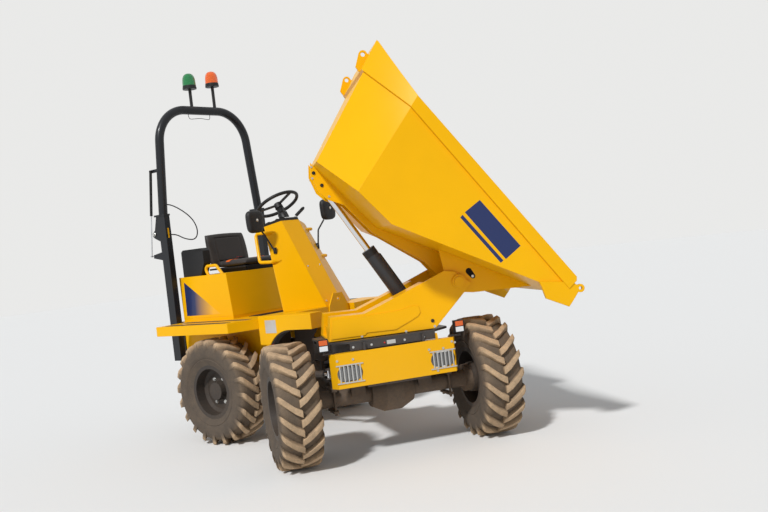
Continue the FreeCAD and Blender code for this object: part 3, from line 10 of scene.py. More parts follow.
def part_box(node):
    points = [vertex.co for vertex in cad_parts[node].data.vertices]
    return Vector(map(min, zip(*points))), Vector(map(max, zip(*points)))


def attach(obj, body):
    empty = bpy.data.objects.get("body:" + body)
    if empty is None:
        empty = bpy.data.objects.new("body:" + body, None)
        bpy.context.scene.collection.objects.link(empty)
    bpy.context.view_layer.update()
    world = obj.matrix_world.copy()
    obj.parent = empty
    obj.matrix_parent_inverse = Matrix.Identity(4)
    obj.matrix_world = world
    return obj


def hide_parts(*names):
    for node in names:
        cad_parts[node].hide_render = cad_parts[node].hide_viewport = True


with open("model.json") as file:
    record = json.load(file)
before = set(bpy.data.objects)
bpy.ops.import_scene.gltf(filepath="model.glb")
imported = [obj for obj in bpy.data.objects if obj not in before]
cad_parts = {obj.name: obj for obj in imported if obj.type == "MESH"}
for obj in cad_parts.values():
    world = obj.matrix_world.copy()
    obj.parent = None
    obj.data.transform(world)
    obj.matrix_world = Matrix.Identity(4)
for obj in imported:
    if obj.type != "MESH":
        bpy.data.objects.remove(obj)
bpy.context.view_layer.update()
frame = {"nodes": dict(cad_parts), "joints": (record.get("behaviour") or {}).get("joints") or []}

# Camera
# The machine is seen from off its right front corner, from eye height, with the
# camera turned a little, so that the horizon leans.
joints = {joint["name"]: joint for joint in frame["joints"]}
PIVOT = Vector(joints["steer"]["pos_m"]).xy.to_3d()  # on the ground below the articulation pin
EYE = PIVOT + Vector((5.1302, -5.5526, 1.4353))
HEADING, PITCH, ROLL = 2.2675, -0.0134, -0.1172  # radians
FOCUS, PICTURE_WIDTH, SENSOR = 935.8, 768, 36  # pixels, pixels, millimetres
look = Vector((math.cos(PITCH) * math.cos(HEADING), math.cos(PITCH) * math.sin(HEADING), math.sin(PITCH)))
level_right = look.cross(Vector((0, 0, 1))).normalized()
level_up = level_right.cross(look)
right = math.cos(ROLL) * level_right + math.sin(ROLL) * level_up
above = math.cos(ROLL) * level_up - math.sin(ROLL) * level_right
lens = bpy.data.cameras.new("Camera")
lens.sensor_width = SENSOR
lens.lens = FOCUS / PICTURE_WIDTH * SENSOR
lens.clip_end = 200
camera = bpy.data.objects.new("Camera", lens)
camera.matrix_world = Matrix((right, above, -look)).transposed().to_4x4()
camera.location = EYE
bpy.context.collection.objects.link(camera)
bpy.context.scene.camera = camera
bpy.context.scene.view_settings.view_transform = "Standard"


# Studio
# A pale seamless floor, a broad sun where the photograph has it and a soft sky
# from all round, which the camera and mirrors see as near white.
def put(node, **inputs):
    """Set a node's inputs by their names, with underscores for spaces, and hand the node back."""
    for name, value in inputs.items():
        node.inputs[name.replace("_", " ")].default_value = value
    return node


def wire(source, target):
    """Link an output of a node to an input of another."""
    source.id_data.links.new(source, target)


def material(name):
    """A fresh material, its nodes and its shader."""
    new = bpy.data.materials.new(name)
    new.use_nodes = True
    nodes = new.node_tree.nodes
    return new, nodes, nodes["Principled BSDF"]


PALE = (0.82, 0.82, 0.81, 1)
REACH = 40
floor_mesh = bpy.data.meshes.new("Floor")
floor_mesh.from_pydata([(-REACH, -REACH, 0), (REACH, -REACH, 0), (REACH, REACH, 0), (-REACH, REACH, 0)], [],
                       [(0, 1, 2, 3)])
floor = bpy.data.objects.new("Floor", floor_mesh)
bpy.context.collection.objects.link(floor)
floor_paint, nodes, shader = material("Pale floor")
put(shader, Base_Color=PALE, Roughness=0.9)
floor_mesh.materials.append(floor_paint)

world = bpy.data.worlds.new("Studio sky")
world.use_nodes = True
bpy.context.scene.world = world
nodes = world.node_tree.nodes
background = put(nodes["Background"], Color=(0.93, 0.96, 1, 1), Strength=0.40)
seen = put(nodes.new("ShaderNodeBackground"), Color=PALE, Strength=1.0)
path = nodes.new("ShaderNodeLightPath")
either = nodes.new("ShaderNodeMath")
either.operation = "MAXIMUM"
mix = nodes.new("ShaderNodeMixShader")
wire(path.outputs["Is Camera Ray"], either.inputs[0])
wire(path.outputs["Is Glossy Ray"], either.inputs[1])
wire(either.outputs[0], mix.inputs["Fac"])
wire(background.outputs[0], mix.inputs[1])
wire(seen.outputs[0], mix.inputs[2])
wire(mix.outputs[0], nodes["World Output"].inputs["Surface"])

SUN_WAY = Vector((0.17, -0.71, 0.68))
sun = bpy.data.objects.new("Sun", bpy.data.lights.new("Sun", "SUN"))
sun.data.energy = 2.75
sun.data.angle = math.radians(5)
sun.rotation_euler = SUN_WAY.to_track_quat("Z", "Y").to_euler()
bpy.context.collection.objects.link(sun)

# Places
# Each chassis, frame and skip has axes of its own: X forward, Y to the left and
# Z up, in metres. The joints say where each of them stands at rest.
PIN_HEIGHT, TIP_REST = 0.51, 50.7
ground = Vector((0, 0, joints["steer"]["pos_m"][2] - PIN_HEIGHT))


def heading(name):
    """How far the left-pointing axis of a joint is turned about the vertical."""
    left = Vector(joints[name]["axis"])
    return Matrix.Rotation(math.atan2(-left.x, left.y), 4, "Z")


REAR = Matrix.Translation(PIVOT + ground)
FRONT = REAR @ heading("roll_front_left")
SWIVEL = Matrix.Translation(Vector(joints["swivel"]["pos_m"]).xy.to_3d() + ground) @ heading("tip")
TIPPED = Matrix.Rotation(math.radians(TIP_REST), 4, "Y")
SKIP = Matrix.Translation(joints["tip"]["pos_m"]) @ heading("tip") @ TIPPED


# Enamel
# Two-pack enamel sprayed over primed steel, smooth and even, a little dull where
# earth dust has settled low down. Edges are broken by a file, so they catch light.
def noise(place, scale, detail=4.0, rough=0.55):
    """Noise over the points of a socket."""
    texture = put(place.id_data.nodes.new("ShaderNodeTexNoise"), Scale=scale, Detail=detail, Roughness=rough)
    wire(place, texture.inputs["Vector"])
    return texture.outputs["Fac"]


def ramp(value, low, high, low_out=0.0, high_out=1.0):
    """A value taken from one range to another."""
    span = put(value.id_data.nodes.new("ShaderNodeMapRange"), From_Min=low, From_Max=high, To_Min=low_out,
               To_Max=high_out)
    wire(value, span.inputs["Value"])
    return span.outputs["Result"]


def mixed(share, first, second):
    """A mix of two colours, each a socket or a colour."""
    mixer = share.id_data.nodes.new("ShaderNodeMix")
    mixer.data_type = "RGBA"
    wire(share, mixer.inputs[0])
    for colour, socket in ((first, mixer.inputs[6]), (second, mixer.inputs[7])):
        if isinstance(colour, bpy.types.NodeSocket):
            wire(colour, socket)
        else:
            socket.default_value = (*colour, 1)
    return mixer.outputs[2]


def times(value, *factors):
    """A value multiplied by factors, each a socket or a number."""
    for factor in factors:
        product = value.id_data.nodes.new("ShaderNodeMath")
        product.operation = "MULTIPLY"
        wire(value, product.inputs[0])
        if isinstance(factor, bpy.types.NodeSocket):
            wire(factor, product.inputs[1])
        else:
            product.inputs[1].default_value = factor
        value = product.outputs[0]
    return value


def coordinate(place, axis):
    """One coordinate of the points of a socket."""
    split = place.id_data.nodes.new("ShaderNodeSeparateXYZ")
    wire(place, split.inputs[0])
    return split.outputs[axis]


def bumped(shader, height, strength, depth):
    """Raise a shader's surface by a height."""
    bump = put(shader.id_data.nodes.new("ShaderNodeBump"), Strength=strength, Distance=depth)
    wire(height, bump.inputs["Height"])
    wire(bump.outputs[0], shader.inputs["Normal"])
    return bump


EARTH = (0.40, 0.26, 0.15)


def finish(name, colour, rough, coat=0.0, metal=0.0, dust=0.25, dust_top=1.0, grain=0.0, grain_scale=400.0,
           edge=0.0, shade=0.05, shine=0.3):
    """A coloured surface with dust that thins out upward, a faint change of tone and a fine grain."""
    new, nodes, shader = material(name)
    place = nodes.new("ShaderNodeTexCoord").outputs["Object"]
    cloudy = noise(place, 2.2, 5)
    speckle = noise(place, 55.0, 5, 0.7)
    near_ground = ramp(coordinate(place, "Z"), dust_top, 0.15)
    share = times(near_ground, ramp(cloudy, 0.3, 0.75, 0.25, 1.0), ramp(speckle, 0.3, 0.7, 0.55, 1.0),
                  dust * 2)
    dark = tuple(channel * (1 - shade) for channel in colour)
    tone = mixed(ramp(cloudy, 0.35, 0.65), dark, colour)
    wire(mixed(share, tone, EARTH), shader.inputs["Base Color"])
    wire(ramp(share, 0, 0.5, rough, 0.9), shader.inputs["Roughness"])
    put(shader, Metallic=metal, Coat_Weight=coat, Coat_Roughness=0.12, Specular_IOR_Level=shine)
    if edge:
        rounded = put(nodes.new("ShaderNodeBevel"), Radius=edge)
        rounded.samples = 4
        wire(rounded.outputs[0], shader.inputs["Normal"])
    if grain:
        bump = bumped(shader, noise(place, grain_scale, 3), grain, 0.001)
        if edge:
            wire(rounded.outputs[0], bump.inputs["Normal"])
    return new


YELLOW = (0.86, 0.44, 0.0)
paint = finish("Yellow enamel", YELLOW, 0.36, coat=0.07, dust=0.10, grain=0.04, grain_scale=900, edge=0.004,
               shine=0.14)
dark_paint = finish("Dark grey enamel", (0.030, 0.032, 0.036), 0.42, coat=0.15, dust=0.22, grain=0.05,
                    grain_scale=900, edge=0.003)
hoop_paint = finish("Hoop enamel", (0.014, 0.0155, 0.019), 0.35, coat=0.15, dust=0.0, grain=0.03,
                    grain_scale=900, shine=0.2)
black_steel = finish("Black steel", (0.014, 0.014, 0.015), 0.45, dust=0.2, grain=0.1, edge=0.002)
rim_paint = finish("Rim enamel", (0.020, 0.020, 0.021), 0.42, dust=0.13, grain=0.05, edge=0.002)
red_paint = finish("Red enamel", (0.5, 0.012, 0.01), 0.35, coat=0.3, dust=0.2)
cast = finish("Cast housing", (0.045, 0.045, 0.047), 0.6, metal=0.3, dust=0.4, grain=0.5, grain_scale=180,
              edge=0.006)
chrome = finish("Chromed rod", (0.75, 0.76, 0.78), 0.12, metal=1.0, dust=0.0, shade=0.01)
zinc = finish("Zinc-plated steel", (0.62, 0.62, 0.60), 0.32, metal=1.0, dust=0.05, shade=0.08, grain=0.1)
moulded = finish("Black moulding", (0.016, 0.016, 0.017), 0.5, dust=0.05, grain=0.35, grain_scale=700,
                 edge=0.003)
# Flat black for painted shade, laid on the cheeks where their slots open.
slot_shade = finish("Painted slot shade", (0.004, 0.004, 0.004), 0.9, dust=0.0)

FINISHES = [
    # finish, pieces that keep their own form
    (paint, ["deck", "nose", "console", "engine_cover", "front_plate", "swivel_frame", "skip", "skip_frame",
             "handrails", "cover_handle"]),
    (dark_paint, ["rear_frame", "front_frame", "turntable", "tip_barrel", "steer_barrel"]),
    (hoop_paint, ["rops_legs", "rops_hoop"]),
    (cast, ["rear_axle", "front_axle", "engine_block"]),
    (black_steel, ["arch_liners", "steering_column", "pedals", "lamp_posts", "beacon_posts", "strut_barrel",
                   "seat_base"]),
    (rim_paint, ["rim_rear_right", "rim_rear_left", "rim_front_right", "rim_front_left"]),
    (red_paint, ["lock_bar"]),
    (chrome, ["tip_rod", "steer_rod", "strut_rod"]),
    (zinc, ["lamp_guards"]),
    (moulded, ["knee_panel", "dash", "side_guard", "steering_wheel"]),
]
for finished, names in FINISHES:
    for name in names:
        for holder in frame["nodes"][name].material_slots:
            holder.material = finished


# Tyres
# Wide bar-lug tyres for loose ground: moulded rubber with twenty bars a side in
# a V, brown with dry earth on the bars, grey on the walls.
def plate(bm, outline, axis, low, high, slot=0):
    """A sheet cut to an outline in a plane and given its thickness along the third axis."""
    rings = []
    for level in (low, high):
        ring = []
        for pair in outline:
            corner = list(pair)
            corner.insert("XYZ".index(axis), level)
            ring.append(bm.verts.new(corner))
        rings.append(ring)
    near, far = rings
    faces = [bm.faces.new(near), bm.faces.new(far[::-1])]
    for here in range(len(near)):
        after = (here + 1) % len(near)
        faces.append(bm.faces.new((near[after], near[here], far[here], far[after])))
    for face in faces:
        face.material_index = slot


def rectangle(low, high):
    """The four corners of a rectangle."""
    return [(low[0], low[1]), (high[0], low[1]), (high[0], high[1]), (low[0], high[1])]


def block(bm, low, high, slot=0, middle=(0, 0, 0)):
    """A box between two corners, counted from a middle."""
    low, high = ([a + b for a, b in zip(middle, corner)] for corner in (low, high))
    plate(bm, rectangle(low, high), "Z", low[2], high[2], slot)


def stack(bm, rings, slot=0, closed=False):
    """Faces between rings of points; a ring of one point is a tip, and closed joins the last to the first."""
    made = [[bm.verts.new(point) for point in ring] for ring in rings]
    pairs = list(zip(made, made[1:])) + ([(made[-1], made[0])] if closed else [])
    for near, far in pairs:
        for step in range(max(len(near), len(far))):
            after = step + 1
            ring = [near[step % len(near)], near[after % len(near)], far[after % len(far)],
                    far[step % len(far)]]
            bm.faces.new(list(dict.fromkeys(ring))).material_index = slot
    if not closed:
        for ring in (made[0], made[-1]):
            if len(ring) > 2:
                bm.faces.new(ring).material_index = slot


def circle(radius, turn):
    """A point on a circle about the origin, as a pair."""
    return radius * math.cos(turn), radius * math.sin(turn)


def turned(bm, profile, place=Matrix(), sides=32, slot=0, closed=False):
    """A lathe-turned form from (radius, height) pairs about Z."""
    stack(bm, [[place @ Vector((*circle(radius, turn * math.tau / sides), height))
                for turn in range(sides if radius else 1)] for radius, height in profile], slot, closed)


def along(start, end):
    """The place of a rod that begins at one point and has Z towards another."""
    way = Vector(end) - Vector(start)
    return Matrix.Translation(start) @ way.to_track_quat("Z", "Y").to_matrix().to_4x4()


def bar(bm, start, end, radius, sides=16, slot=0):
    """A round bar between two points."""
    length = (Vector(end) - Vector(start)).length
    turned(bm, [(radius, 0), (radius, length)], along(start, end), sides, slot)


def soften(bm, edges, width):
    """Round edges off."""
    bmesh.ops.bevel(bm, geom=edges, offset=width, segments=2, affect="EDGES", profile=0.5, clamp_overlap=True)


def piece(name, bm, body, finishes, place=Matrix(), bevel=0.0, sharp=35, replaces=()):
    """Finish a mesh: break its edges, put it in its place, and say what carries it and what it replaces."""
    if bevel:
        corners = [edge for edge in bm.edges if len(edge.link_faces) == 2 and
                   edge.calc_face_angle(0) > math.radians(sharp)]
        soften(bm, corners, bevel)
    bmesh.ops.transform(bm, matrix=place, verts=bm.verts)
    bmesh.ops.recalc_face_normals(bm, faces=bm.faces)
    mesh = bpy.data.meshes.new(name)
    bm.to_mesh(mesh)
    bm.free()
    for one in finishes:
        mesh.materials.append(one)
    mesh.polygons.foreach_set("use_smooth", [True] * len(mesh.polygons))
    mesh.set_sharp_from_angle(angle=math.radians(sharp))
    made = bpy.data.objects.new(name, mesh)
    bpy.context.collection.objects.link(made)
    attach(made, body)
    if replaces:
        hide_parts(*replaces)
    return made


def tree(name, label, kind):
    """A Geometry Nodes group with a geometry in and out, a named input and a material."""
    group = bpy.data.node_groups.new(name, "GeometryNodeTree")
    group.interface.new_socket("Geometry", in_out="INPUT", socket_type="NodeSocketGeometry")
    group.interface.new_socket("Geometry", in_out="OUTPUT", socket_type="NodeSocketGeometry")
    group.interface.new_socket(label, in_out="INPUT", socket_type=kind)
    group.interface.new_socket("Material", in_out="INPUT", socket_type="NodeSocketMaterial")
    nodes = group.nodes
    return group, nodes, nodes.new("NodeGroupInput"), nodes.new("NodeGroupOutput")


def close(entry, leave, instances):
    """End a group in real, finished geometry."""
    nodes = instances.id_data.nodes
    real = nodes.new("GeometryNodeRealizeInstances")
    coat = nodes.new("GeometryNodeSetMaterial")
    wire(instances, real.inputs[0])
    wire(real.outputs[0], coat.inputs["Geometry"])
    wire(entry.outputs["Material"], coat.inputs["Material"])
    wire(coat.outputs[0], leave.inputs[0])


# Copies of a form, evenly spaced round its Y axis.
around, nodes, entry, leave = tree("Around an axle", "Count", "NodeSocketInt")
line = put(nodes.new("GeometryNodeMeshLine"), Offset=(0, 0, 0))
index = nodes.new("GeometryNodeInputIndex")
pitch = nodes.new("ShaderNodeMath")
pitch.operation = "DIVIDE"
pitch.inputs[0].default_value = math.tau
angle = nodes.new("ShaderNodeMath")
angle.operation = "MULTIPLY"
spin = put(nodes.new("FunctionNodeAxisAngleToRotation"), Axis=(0, 1, 0))
copies = nodes.new("GeometryNodeInstanceOnPoints")
wire(entry.outputs["Count"], line.inputs["Count"])
wire(entry.outputs["Count"], pitch.inputs[1])
wire(index.outputs[0], angle.inputs[0])
wire(pitch.outputs[0], angle.inputs[1])
wire(angle.outputs[0], spin.inputs["Angle"])
wire(line.outputs[0], copies.inputs["Points"])
wire(entry.outputs["Geometry"], copies.inputs["Instance"])
wire(spin.outputs[0], copies.inputs["Rotation"])
close(entry, leave, copies.outputs[0])


def grown(bm, group, into=None, **inputs):
    """A mesh put through a Geometry Nodes group, and added to another or back as a plain one."""
    mesh = bpy.data.meshes.new(group.name)
    bm.to_mesh(mesh)
    bm.free()
    carrier = bpy.data.objects.new(group.name, mesh)
    bpy.context.collection.objects.link(carrier)
    modifier = carrier.modifiers.new(group.name, "NODES")
    modifier.node_group = group
    for socket in group.interface.items_tree:
        if socket.in_out == "INPUT" and socket.name in inputs:
            modifier[socket.identifier] = inputs[socket.name]
    result = bpy.data.meshes.new_from_object(carrier.evaluated_get(bpy.context.evaluated_depsgraph_get()))
    bpy.data.objects.remove(carrier)
    plain = bmesh.new() if into is None else into
    plain.from_mesh(result)
    bpy.data.meshes.remove(result)
    return plain


CASING = [
    # radius, place along the axle: the tyre's section from its bead out to the middle of its tread
    (0.2003, -0.112), (0.214, -0.1175), (0.232, -0.124), (0.262, -0.1375), (0.268, -0.1345), (0.274, -0.1395),
    (0.300, -0.1444), (0.328, -0.1438), (0.352, -0.139), (0.372, -0.128), (0.3845, -0.108), (0.388, -0.06),
    (0.389, 0)]
SECTION = CASING + [(radius, -across) for radius, across in CASING[-2::-1]]
TREAD, BARS, LEAD = 0.4218, 20, 16.0  # radius over the bars, bars a side, slant of a bar in degrees
BAR_EDGE = 0.0016
BAR_SECTIONS = [
    # share of the bar's length, places along the axle of its foot and its top, their radii, and their half
    # widths in degrees
    (-0.04, -0.006, -0.006, 0.374, TREAD, 3.9, 3.1), (0.30, 0.040, 0.040, 0.374, TREAD, 3.8, 3.1),
    (0.62, 0.084, 0.083, 0.371, TREAD, 3.7, 3.0), (0.90, 0.126, 0.122, 0.360, 0.4185, 3.6, 2.9),
    (1.00, 0.138, 0.1355, 0.347, 0.407, 3.5, 2.7), (1.04, 0.1432, 0.1443, 0.326, 0.368, 3.3, 2.3),
    (1.05, 0.1436, 0.1446, 0.300, 0.330, 3.0, 2.0)]


def on_wheel(turn, radius, across):
    """A point of a wheel at a turn in degrees, a radius and a place along the axle."""
    x, z = circle(radius, math.radians(turn))
    return Vector((x, across, z))


def tread_bar(side):
    """One bar, from the middle of the tread out over the shoulder and down the wall."""
    bm = bmesh.new()
    start = 180 / BARS if side > 0 else 0
    rings = []
    for share, foot, top, low, high, foot_half, top_half in BAR_SECTIONS:
        turn = start + LEAD * max(share, 0) ** 1.2
        corners = [(-foot_half, low, foot), (foot_half, low, foot), (top_half, high, top),
                   (-top_half, high, top)]
        rings.append([on_wheel(turn + aside, radius, side * across) for aside, radius, across in corners])
    stack(bm, rings)
    bmesh.ops.recalc_face_normals(bm, faces=bm.faces)
    soften(bm, bm.edges[:], BAR_EDGE)
    return bm


rubber, nodes, shader = material("Tyre rubber")
place = nodes.new("ShaderNodeTexCoord").outputs["Object"]
caked = nodes.new("ShaderNodeAttribute")
caked.attribute_name = "earth"
clods, fine = noise(place, 14, 6, 0.65), noise(place, 120, 4, 0.7)
cover = times(ramp(clods, 0.25, 0.7, 0.55, 1.0), ramp(fine, 0.3, 0.65, 0.7, 1.0), caked.outputs["Fac"])
wire(mixed(cover, (0.034, 0.033, 0.034), (0.60, 0.42, 0.255)), shader.inputs["Base Color"])
put(shader, Roughness=0.88, Specular_IOR_Level=0.2)
bumped(shader, fine, 0.5, 0.002)


def hub(wheel):
    """The place of a wheel, with Y along its axle to the left."""
    return Matrix.Translation(joints["roll_" + wheel]["pos_m"]) @ heading("roll_" + wheel)


WHEELS = (("rear_right", -1), ("rear_left", 1), ("front_right", -1), ("front_left", 1))
BAR_TOP, BAR_FOOT, SHOULDER, WALL = 0.403, 0.392, 0.36, 0.1  # three radii, and how far out the wall begins
for wheel, side in WHEELS:
    casing = bmesh.new()
    turned(casing, SECTION, Matrix.Rotation(math.radians(-90), 4, "X"), 80, closed=True)
    for half in (-1, 1):
        grown(tread_bar(half), around, into=casing, Count=BARS, Material=rubber)
    dirt = casing.verts.layers.float.new("earth")
    for vertex in casing.verts:
        radius, across = math.hypot(vertex.co.x, vertex.co.z), abs(vertex.co.y)
        outer = (0.30 if radius > SHOULDER else 0.17) if across > WALL else 0.27
        vertex[dirt] = 1.0 if radius > BAR_TOP else 0.40 if radius > BAR_FOOT else outer
    piece("lugged_tyre_" + wheel, casing, "wheel_" + wheel, [rubber], hub(wheel), sharp=40,
          replaces=["tyre_" + wheel])

# Fasteners
# Hexagon bolts with plain washers, zinc plated or blackened, which hold the
# plates and covers. Each stands on its plate and faces away from it.
bolts, nodes, entry, leave = tree("Bolts", "Head", "NodeSocketFloat")
parts = nodes.new("GeometryNodeJoinGeometry")
WASHER, HEXAGON = (20, 1.25, 0, 0.22), (6, 1.0, 0.22, 0.85)  # corners, radius, heights of both ends
for corners, radius, low, high in (WASHER, HEXAGON):
    drum = put(nodes.new("GeometryNodeMeshCylinder"), Vertices=corners, Radius=radius, Depth=high - low)
    lift = put(nodes.new("GeometryNodeTransform"), Translation=(0, 0, (low + high) / 2))
    wire(drum.outputs["Mesh"], lift.inputs["Geometry"])
    wire(lift.outputs[0], parts.inputs[0])
facing = nodes.new("GeometryNodeInputNamedAttribute")
facing.data_type = "FLOAT_VECTOR"
put(facing, Name="facing")
align = nodes.new("FunctionNodeAlignRotationToVector")
align.axis = "Z"
copies = nodes.new("GeometryNodeInstanceOnPoints")
wire(entry.outputs["Geometry"], copies.inputs["Points"])
wire(parts.outputs[0], copies.inputs["Instance"])
wire(facing.outputs["Attribute"], align.inputs["Vector"])
wire(align.outputs[0], copies.inputs["Rotation"])
wire(entry.outputs["Head"], copies.inputs["Scale"])
close(entry, leave, copies.outputs[0])
AHEAD = (1, 0, 0)


def bolted(name, places, head, finished, body, stand=Matrix()):
    """Bolts at points, each facing its own way."""
    bm = bmesh.new()
    way = bm.verts.layers.float_vector.new("facing")
    for point, direction in places:
        bm.verts.new(point)[way] = direction
    whole = grown(bm, bolts, Head=head, Material=finished)
    piece(name, whole, body, [finished], stand, sharp=30)


def outward(spots, side, face):
    """Places for bolts on a face at one side, which point away from the middle."""
    return [((x, side * face, z), (0, side, 0)) for x, z in spots]


NUT_CIRCLE, NUTS, DISC_FACE = 0.105, 6, 0.0262
for wheel, side in WHEELS:
    ring = [(on_wheel(360 * nut / NUTS, NUT_CIRCLE, side * DISC_FACE), (0, side, 0)) for nut in range(NUTS)]
    bolted("wheel_nuts_" + wheel, ring, 0.0125, zinc, "wheel_" + wheel, hub(wheel))

PLATE_FACE = 1.355
PLATE_BOLTS = [(-0.299, 0.700), (-0.407, 0.702), (-0.356, 0.552), (0.233, 0.687), (0.335, 0.683),
               (0.28, 0.538), (0.401, 0.72), (0.422, 0.711)]
bolted("front_plate_bolts", [((PLATE_FACE, y, z), AHEAD) for y, z in PLATE_BOLTS], 0.0065, zinc,
       "front_chassis", FRONT)

# Turntable's edge
# The slewing plate's folded front edge, dark sheet bolted on from the front, with
# a small blank plate, a red marker and the yellow tab that the lock bar meets.
EDGE_FACE = 1.3245
FORWARD = Matrix.Rotation(math.radians(90), 4, "Y")  # turns Z forward
edge = bmesh.new()
block(edge, (1.316, -0.30, 0.752), (EDGE_FACE, 0.30, 0.800))
block(edge, (EDGE_FACE, -0.0455, 0.763), (1.3258, 0.0155, 0.789), 1)
turned(edge, [(0.006, 0), (0.006, 0.004), (0.004, 0.006), (0, 0.006)],
       Matrix.Translation((1.3243, -0.062, 0.776)) @ FORWARD, 16, 2)
piece("turntable_edge", edge, "front_chassis", [dark_paint, zinc, red_paint], FRONT,
      bevel=0.001)
tab = bmesh.new()
plate(tab, [(1.322, 0.747), (1.355, 0.747), (1.355, 0.765), (1.345, 0.79), (1.322, 0.79)], "Y", 0.299, 0.307)
piece("turntable_tab", tab, "front_chassis", [paint], FRONT, bevel=0.001)
edge_bolts = [((EDGE_FACE, y, 0.775), AHEAD) for y in (-0.28, -0.153, 0.08, 0.216)]
bolted("turntable_bolts", edge_bolts, 0.0065, zinc, "front_chassis", FRONT)

# Swivel frame's doubling plates
# A second steel plate is welded to the outside of each arm to carry the tipping
# pin's load down to the turntable; it ends in a bolted foot.
SIDES = (("right", -1), ("left", 1))
DOUBLER = [(-0.365, 0.835), (-0.134, 0.835), (-0.119, 0.850), (0.08, 0.846), (0.19, 0.893), (0.243, 0.918),
           (0.262, 0.942), (0.255, 0.985), (0.215, 0.992), (0.12, 0.972), (-0.11, 0.965), (-0.345, 0.968)]
ARM_FACE = 0.296
ARM_BOLTS, ARM_STOP = ((0.149, 0.823), (-0.155, 0.830), (0.3505, 0.833)), ((0.34, 0.873),)
for word, side in SIDES:
    doubler = bmesh.new()
    plate(doubler, DOUBLER, "Y", side * (ARM_FACE - 0.001), side * (ARM_FACE + 0.0055))
    piece("arm_doubler_" + word, doubler, "swivel_frame", [paint], SWIVEL, bevel=0.0025)
    bolted("arm_bolts_" + word, outward(ARM_BOLTS, side, ARM_FACE), 0.007, zinc, "swivel_frame", SWIVEL)
    bolted("arm_stop_" + word, outward(ARM_STOP, side, ARM_FACE), 0.010, black_steel, "swivel_frame", SWIVEL)

# Films and plates
# Navy film on the skip's walls and on the cover's sides, kept blank, and a blank
# aluminium plate: all flat on the steel that carries them.
NAVY = (0.010, 0.022, 0.10)
navy_film = finish("Navy film", NAVY, 0.35, coat=0.3, dust=0.0)
blank_plate = finish("Blank aluminium plate", (0.62, 0.62, 0.62), 0.4, metal=0.6, dust=0.0)

fading, nodes, shader = material("Fading navy film")
place = nodes.new("ShaderNodeTexCoord").outputs["Object"]
fade = ramp(coordinate(place, "X"), PIVOT.x - 1.26, PIVOT.x - 1.02)
wire(mixed(fade, NAVY, YELLOW), shader.inputs["Base Color"])
put(shader, Roughness=0.35, Coat_Weight=0.25)


def film(bm, outline, half, side):
    """A skin on a side wall, whose half width is given at each height."""
    stack(bm, [[(x, side * (half(z) + level), z) for x, z in outline] for level in (-0.001, 0.0007)])


def skip_half(height):
    """Half the skip's width over its walls, at a height."""
    return 0.722 + 0.018 * (height + 0.105) / 0.699


def cover_half(height):
    """Half the engine cover's width, at a height."""
    return 0.495 - 0.022 * (height - 0.990) / 0.355


PANEL = [(-0.345, 0.405), (-0.36, 0.28), (0.043, 0.253), (0.053, 0.382)]
STRIPE = [(-0.360, 0.258), (-0.358, 0.235), (0.035, 0.212), (0.037, 0.235)]
SWEEP = [(-1.389, 1.302), (-1.374, 1.012), (-0.93, 1.012)]
panel, sweep = bmesh.new(), bmesh.new()
for side in (-1, 1):
    film(panel, PANEL, skip_half, side)
    film(panel, STRIPE, skip_half, side)
    film(sweep, SWEEP, cover_half, side)
piece("skip_panels", panel, "skip", [navy_film], SKIP)
piece("cover_sweeps", sweep, "engine_cover", [fading], REAR)
data = bmesh.new()
block(data, (-0.27, -0.6232, 0.850), (-0.150, -0.6215, 0.950))
piece("data_plate", data, "rear_chassis", [blank_plate], REAR, bevel=0.0005)

# Girder details
# Dark bolts through the tail of each girder, bright ones at its end, and painted
# shade for the slot in each hinge cheek through which the stop pin is reached.
GIRDER_OUT, CHEEK_OUT = 0.082, 0.274
GIRDER_BOLTS = [
    # name, head, finish, distance out, places
    ("girder_bolts_", 0.010, black_steel, GIRDER_OUT, [(-1.225, -0.139), (-1.125, -0.160)]),
    ("girder_end_bolts_", 0.0065, zinc, GIRDER_OUT, [(-1.265, -0.120), (-1.205, -0.172), (-1.035, -0.180)]),
    ("stop_pin_", 0.008, zinc, CHEEK_OUT, [(0.050, 0.098)])]
SLOT_ENDS = [
    # middle of the arc, its radius, its start
    ((0.052, 0.100), 0.017, -math.pi / 2), ((0.006, 0.104), 0.022, math.pi / 2)]
slots = bmesh.new()
for word, side in SIDES:
    for name, head, finished, out, spots in GIRDER_BOLTS:
        bolted(name + word, outward(spots, side, out), head, finished, "skip", SKIP)
    rounded = []
    for (x, z), radius, start in SLOT_ENDS:
        for step in range(9):
            ahead, up = circle(radius, math.pi * step / 8 + start)
            rounded.append((x + ahead, z + up))
    # A thin black sheet on the cheek: painted shade where the slot opens.
    plate(slots, rounded, "Y", side * (CHEEK_OUT - 0.001), side * (CHEEK_OUT + 0.0004))
piece("cheek_slot_shades", slots, "skip", [slot_shade], SKIP)

# Load space of the skip
# What earth and stone slide over: the faces seen from the middle of the load,
# their paint scoured to dull steel along the floor and stained by soil.
scoured, nodes, shader = material("Scoured skip floor")
inside = nodes.new("ShaderNodeAttribute")
inside.attribute_name = "in_skip"
place = inside.outputs["Vector"]
streaks = put(nodes.new("ShaderNodeMapping"), Scale=(1.0, 7.0, 4.0))
wire(place, streaks.inputs["Vector"])
scratches = noise(streaks.outputs[0], 4.0, 9, 0.72)
patches = noise(streaks.outputs[0], 0.9, 6, 0.6)
soil = noise(place, 5.0, 9, 0.72)
depth = ramp(coordinate(place, "Z"), 0.52, 0.10, 0.25, 1.0)
bare = times(ramp(patches, 0.38, 0.62), depth)
scraped = times(ramp(scratches, 0.50, 0.66, 0, 0.7), depth)
steel = mixed(ramp(scratches, 0.4, 0.65), (0.21, 0.17, 0.13), (0.36, 0.27, 0.19))
base = mixed(bare, mixed(scraped, YELLOW, steel), steel)
stained = times(ramp(soil, 0.40, 0.75, 0.15, 0.85), depth)
wire(mixed(stained, base, EARTH), shader.inputs["Base Color"])
wire(times(bare, 0.35), shader.inputs["Metallic"])
put(shader, Roughness=0.62)
bumped(shader, soil, 0.35, 0.003)

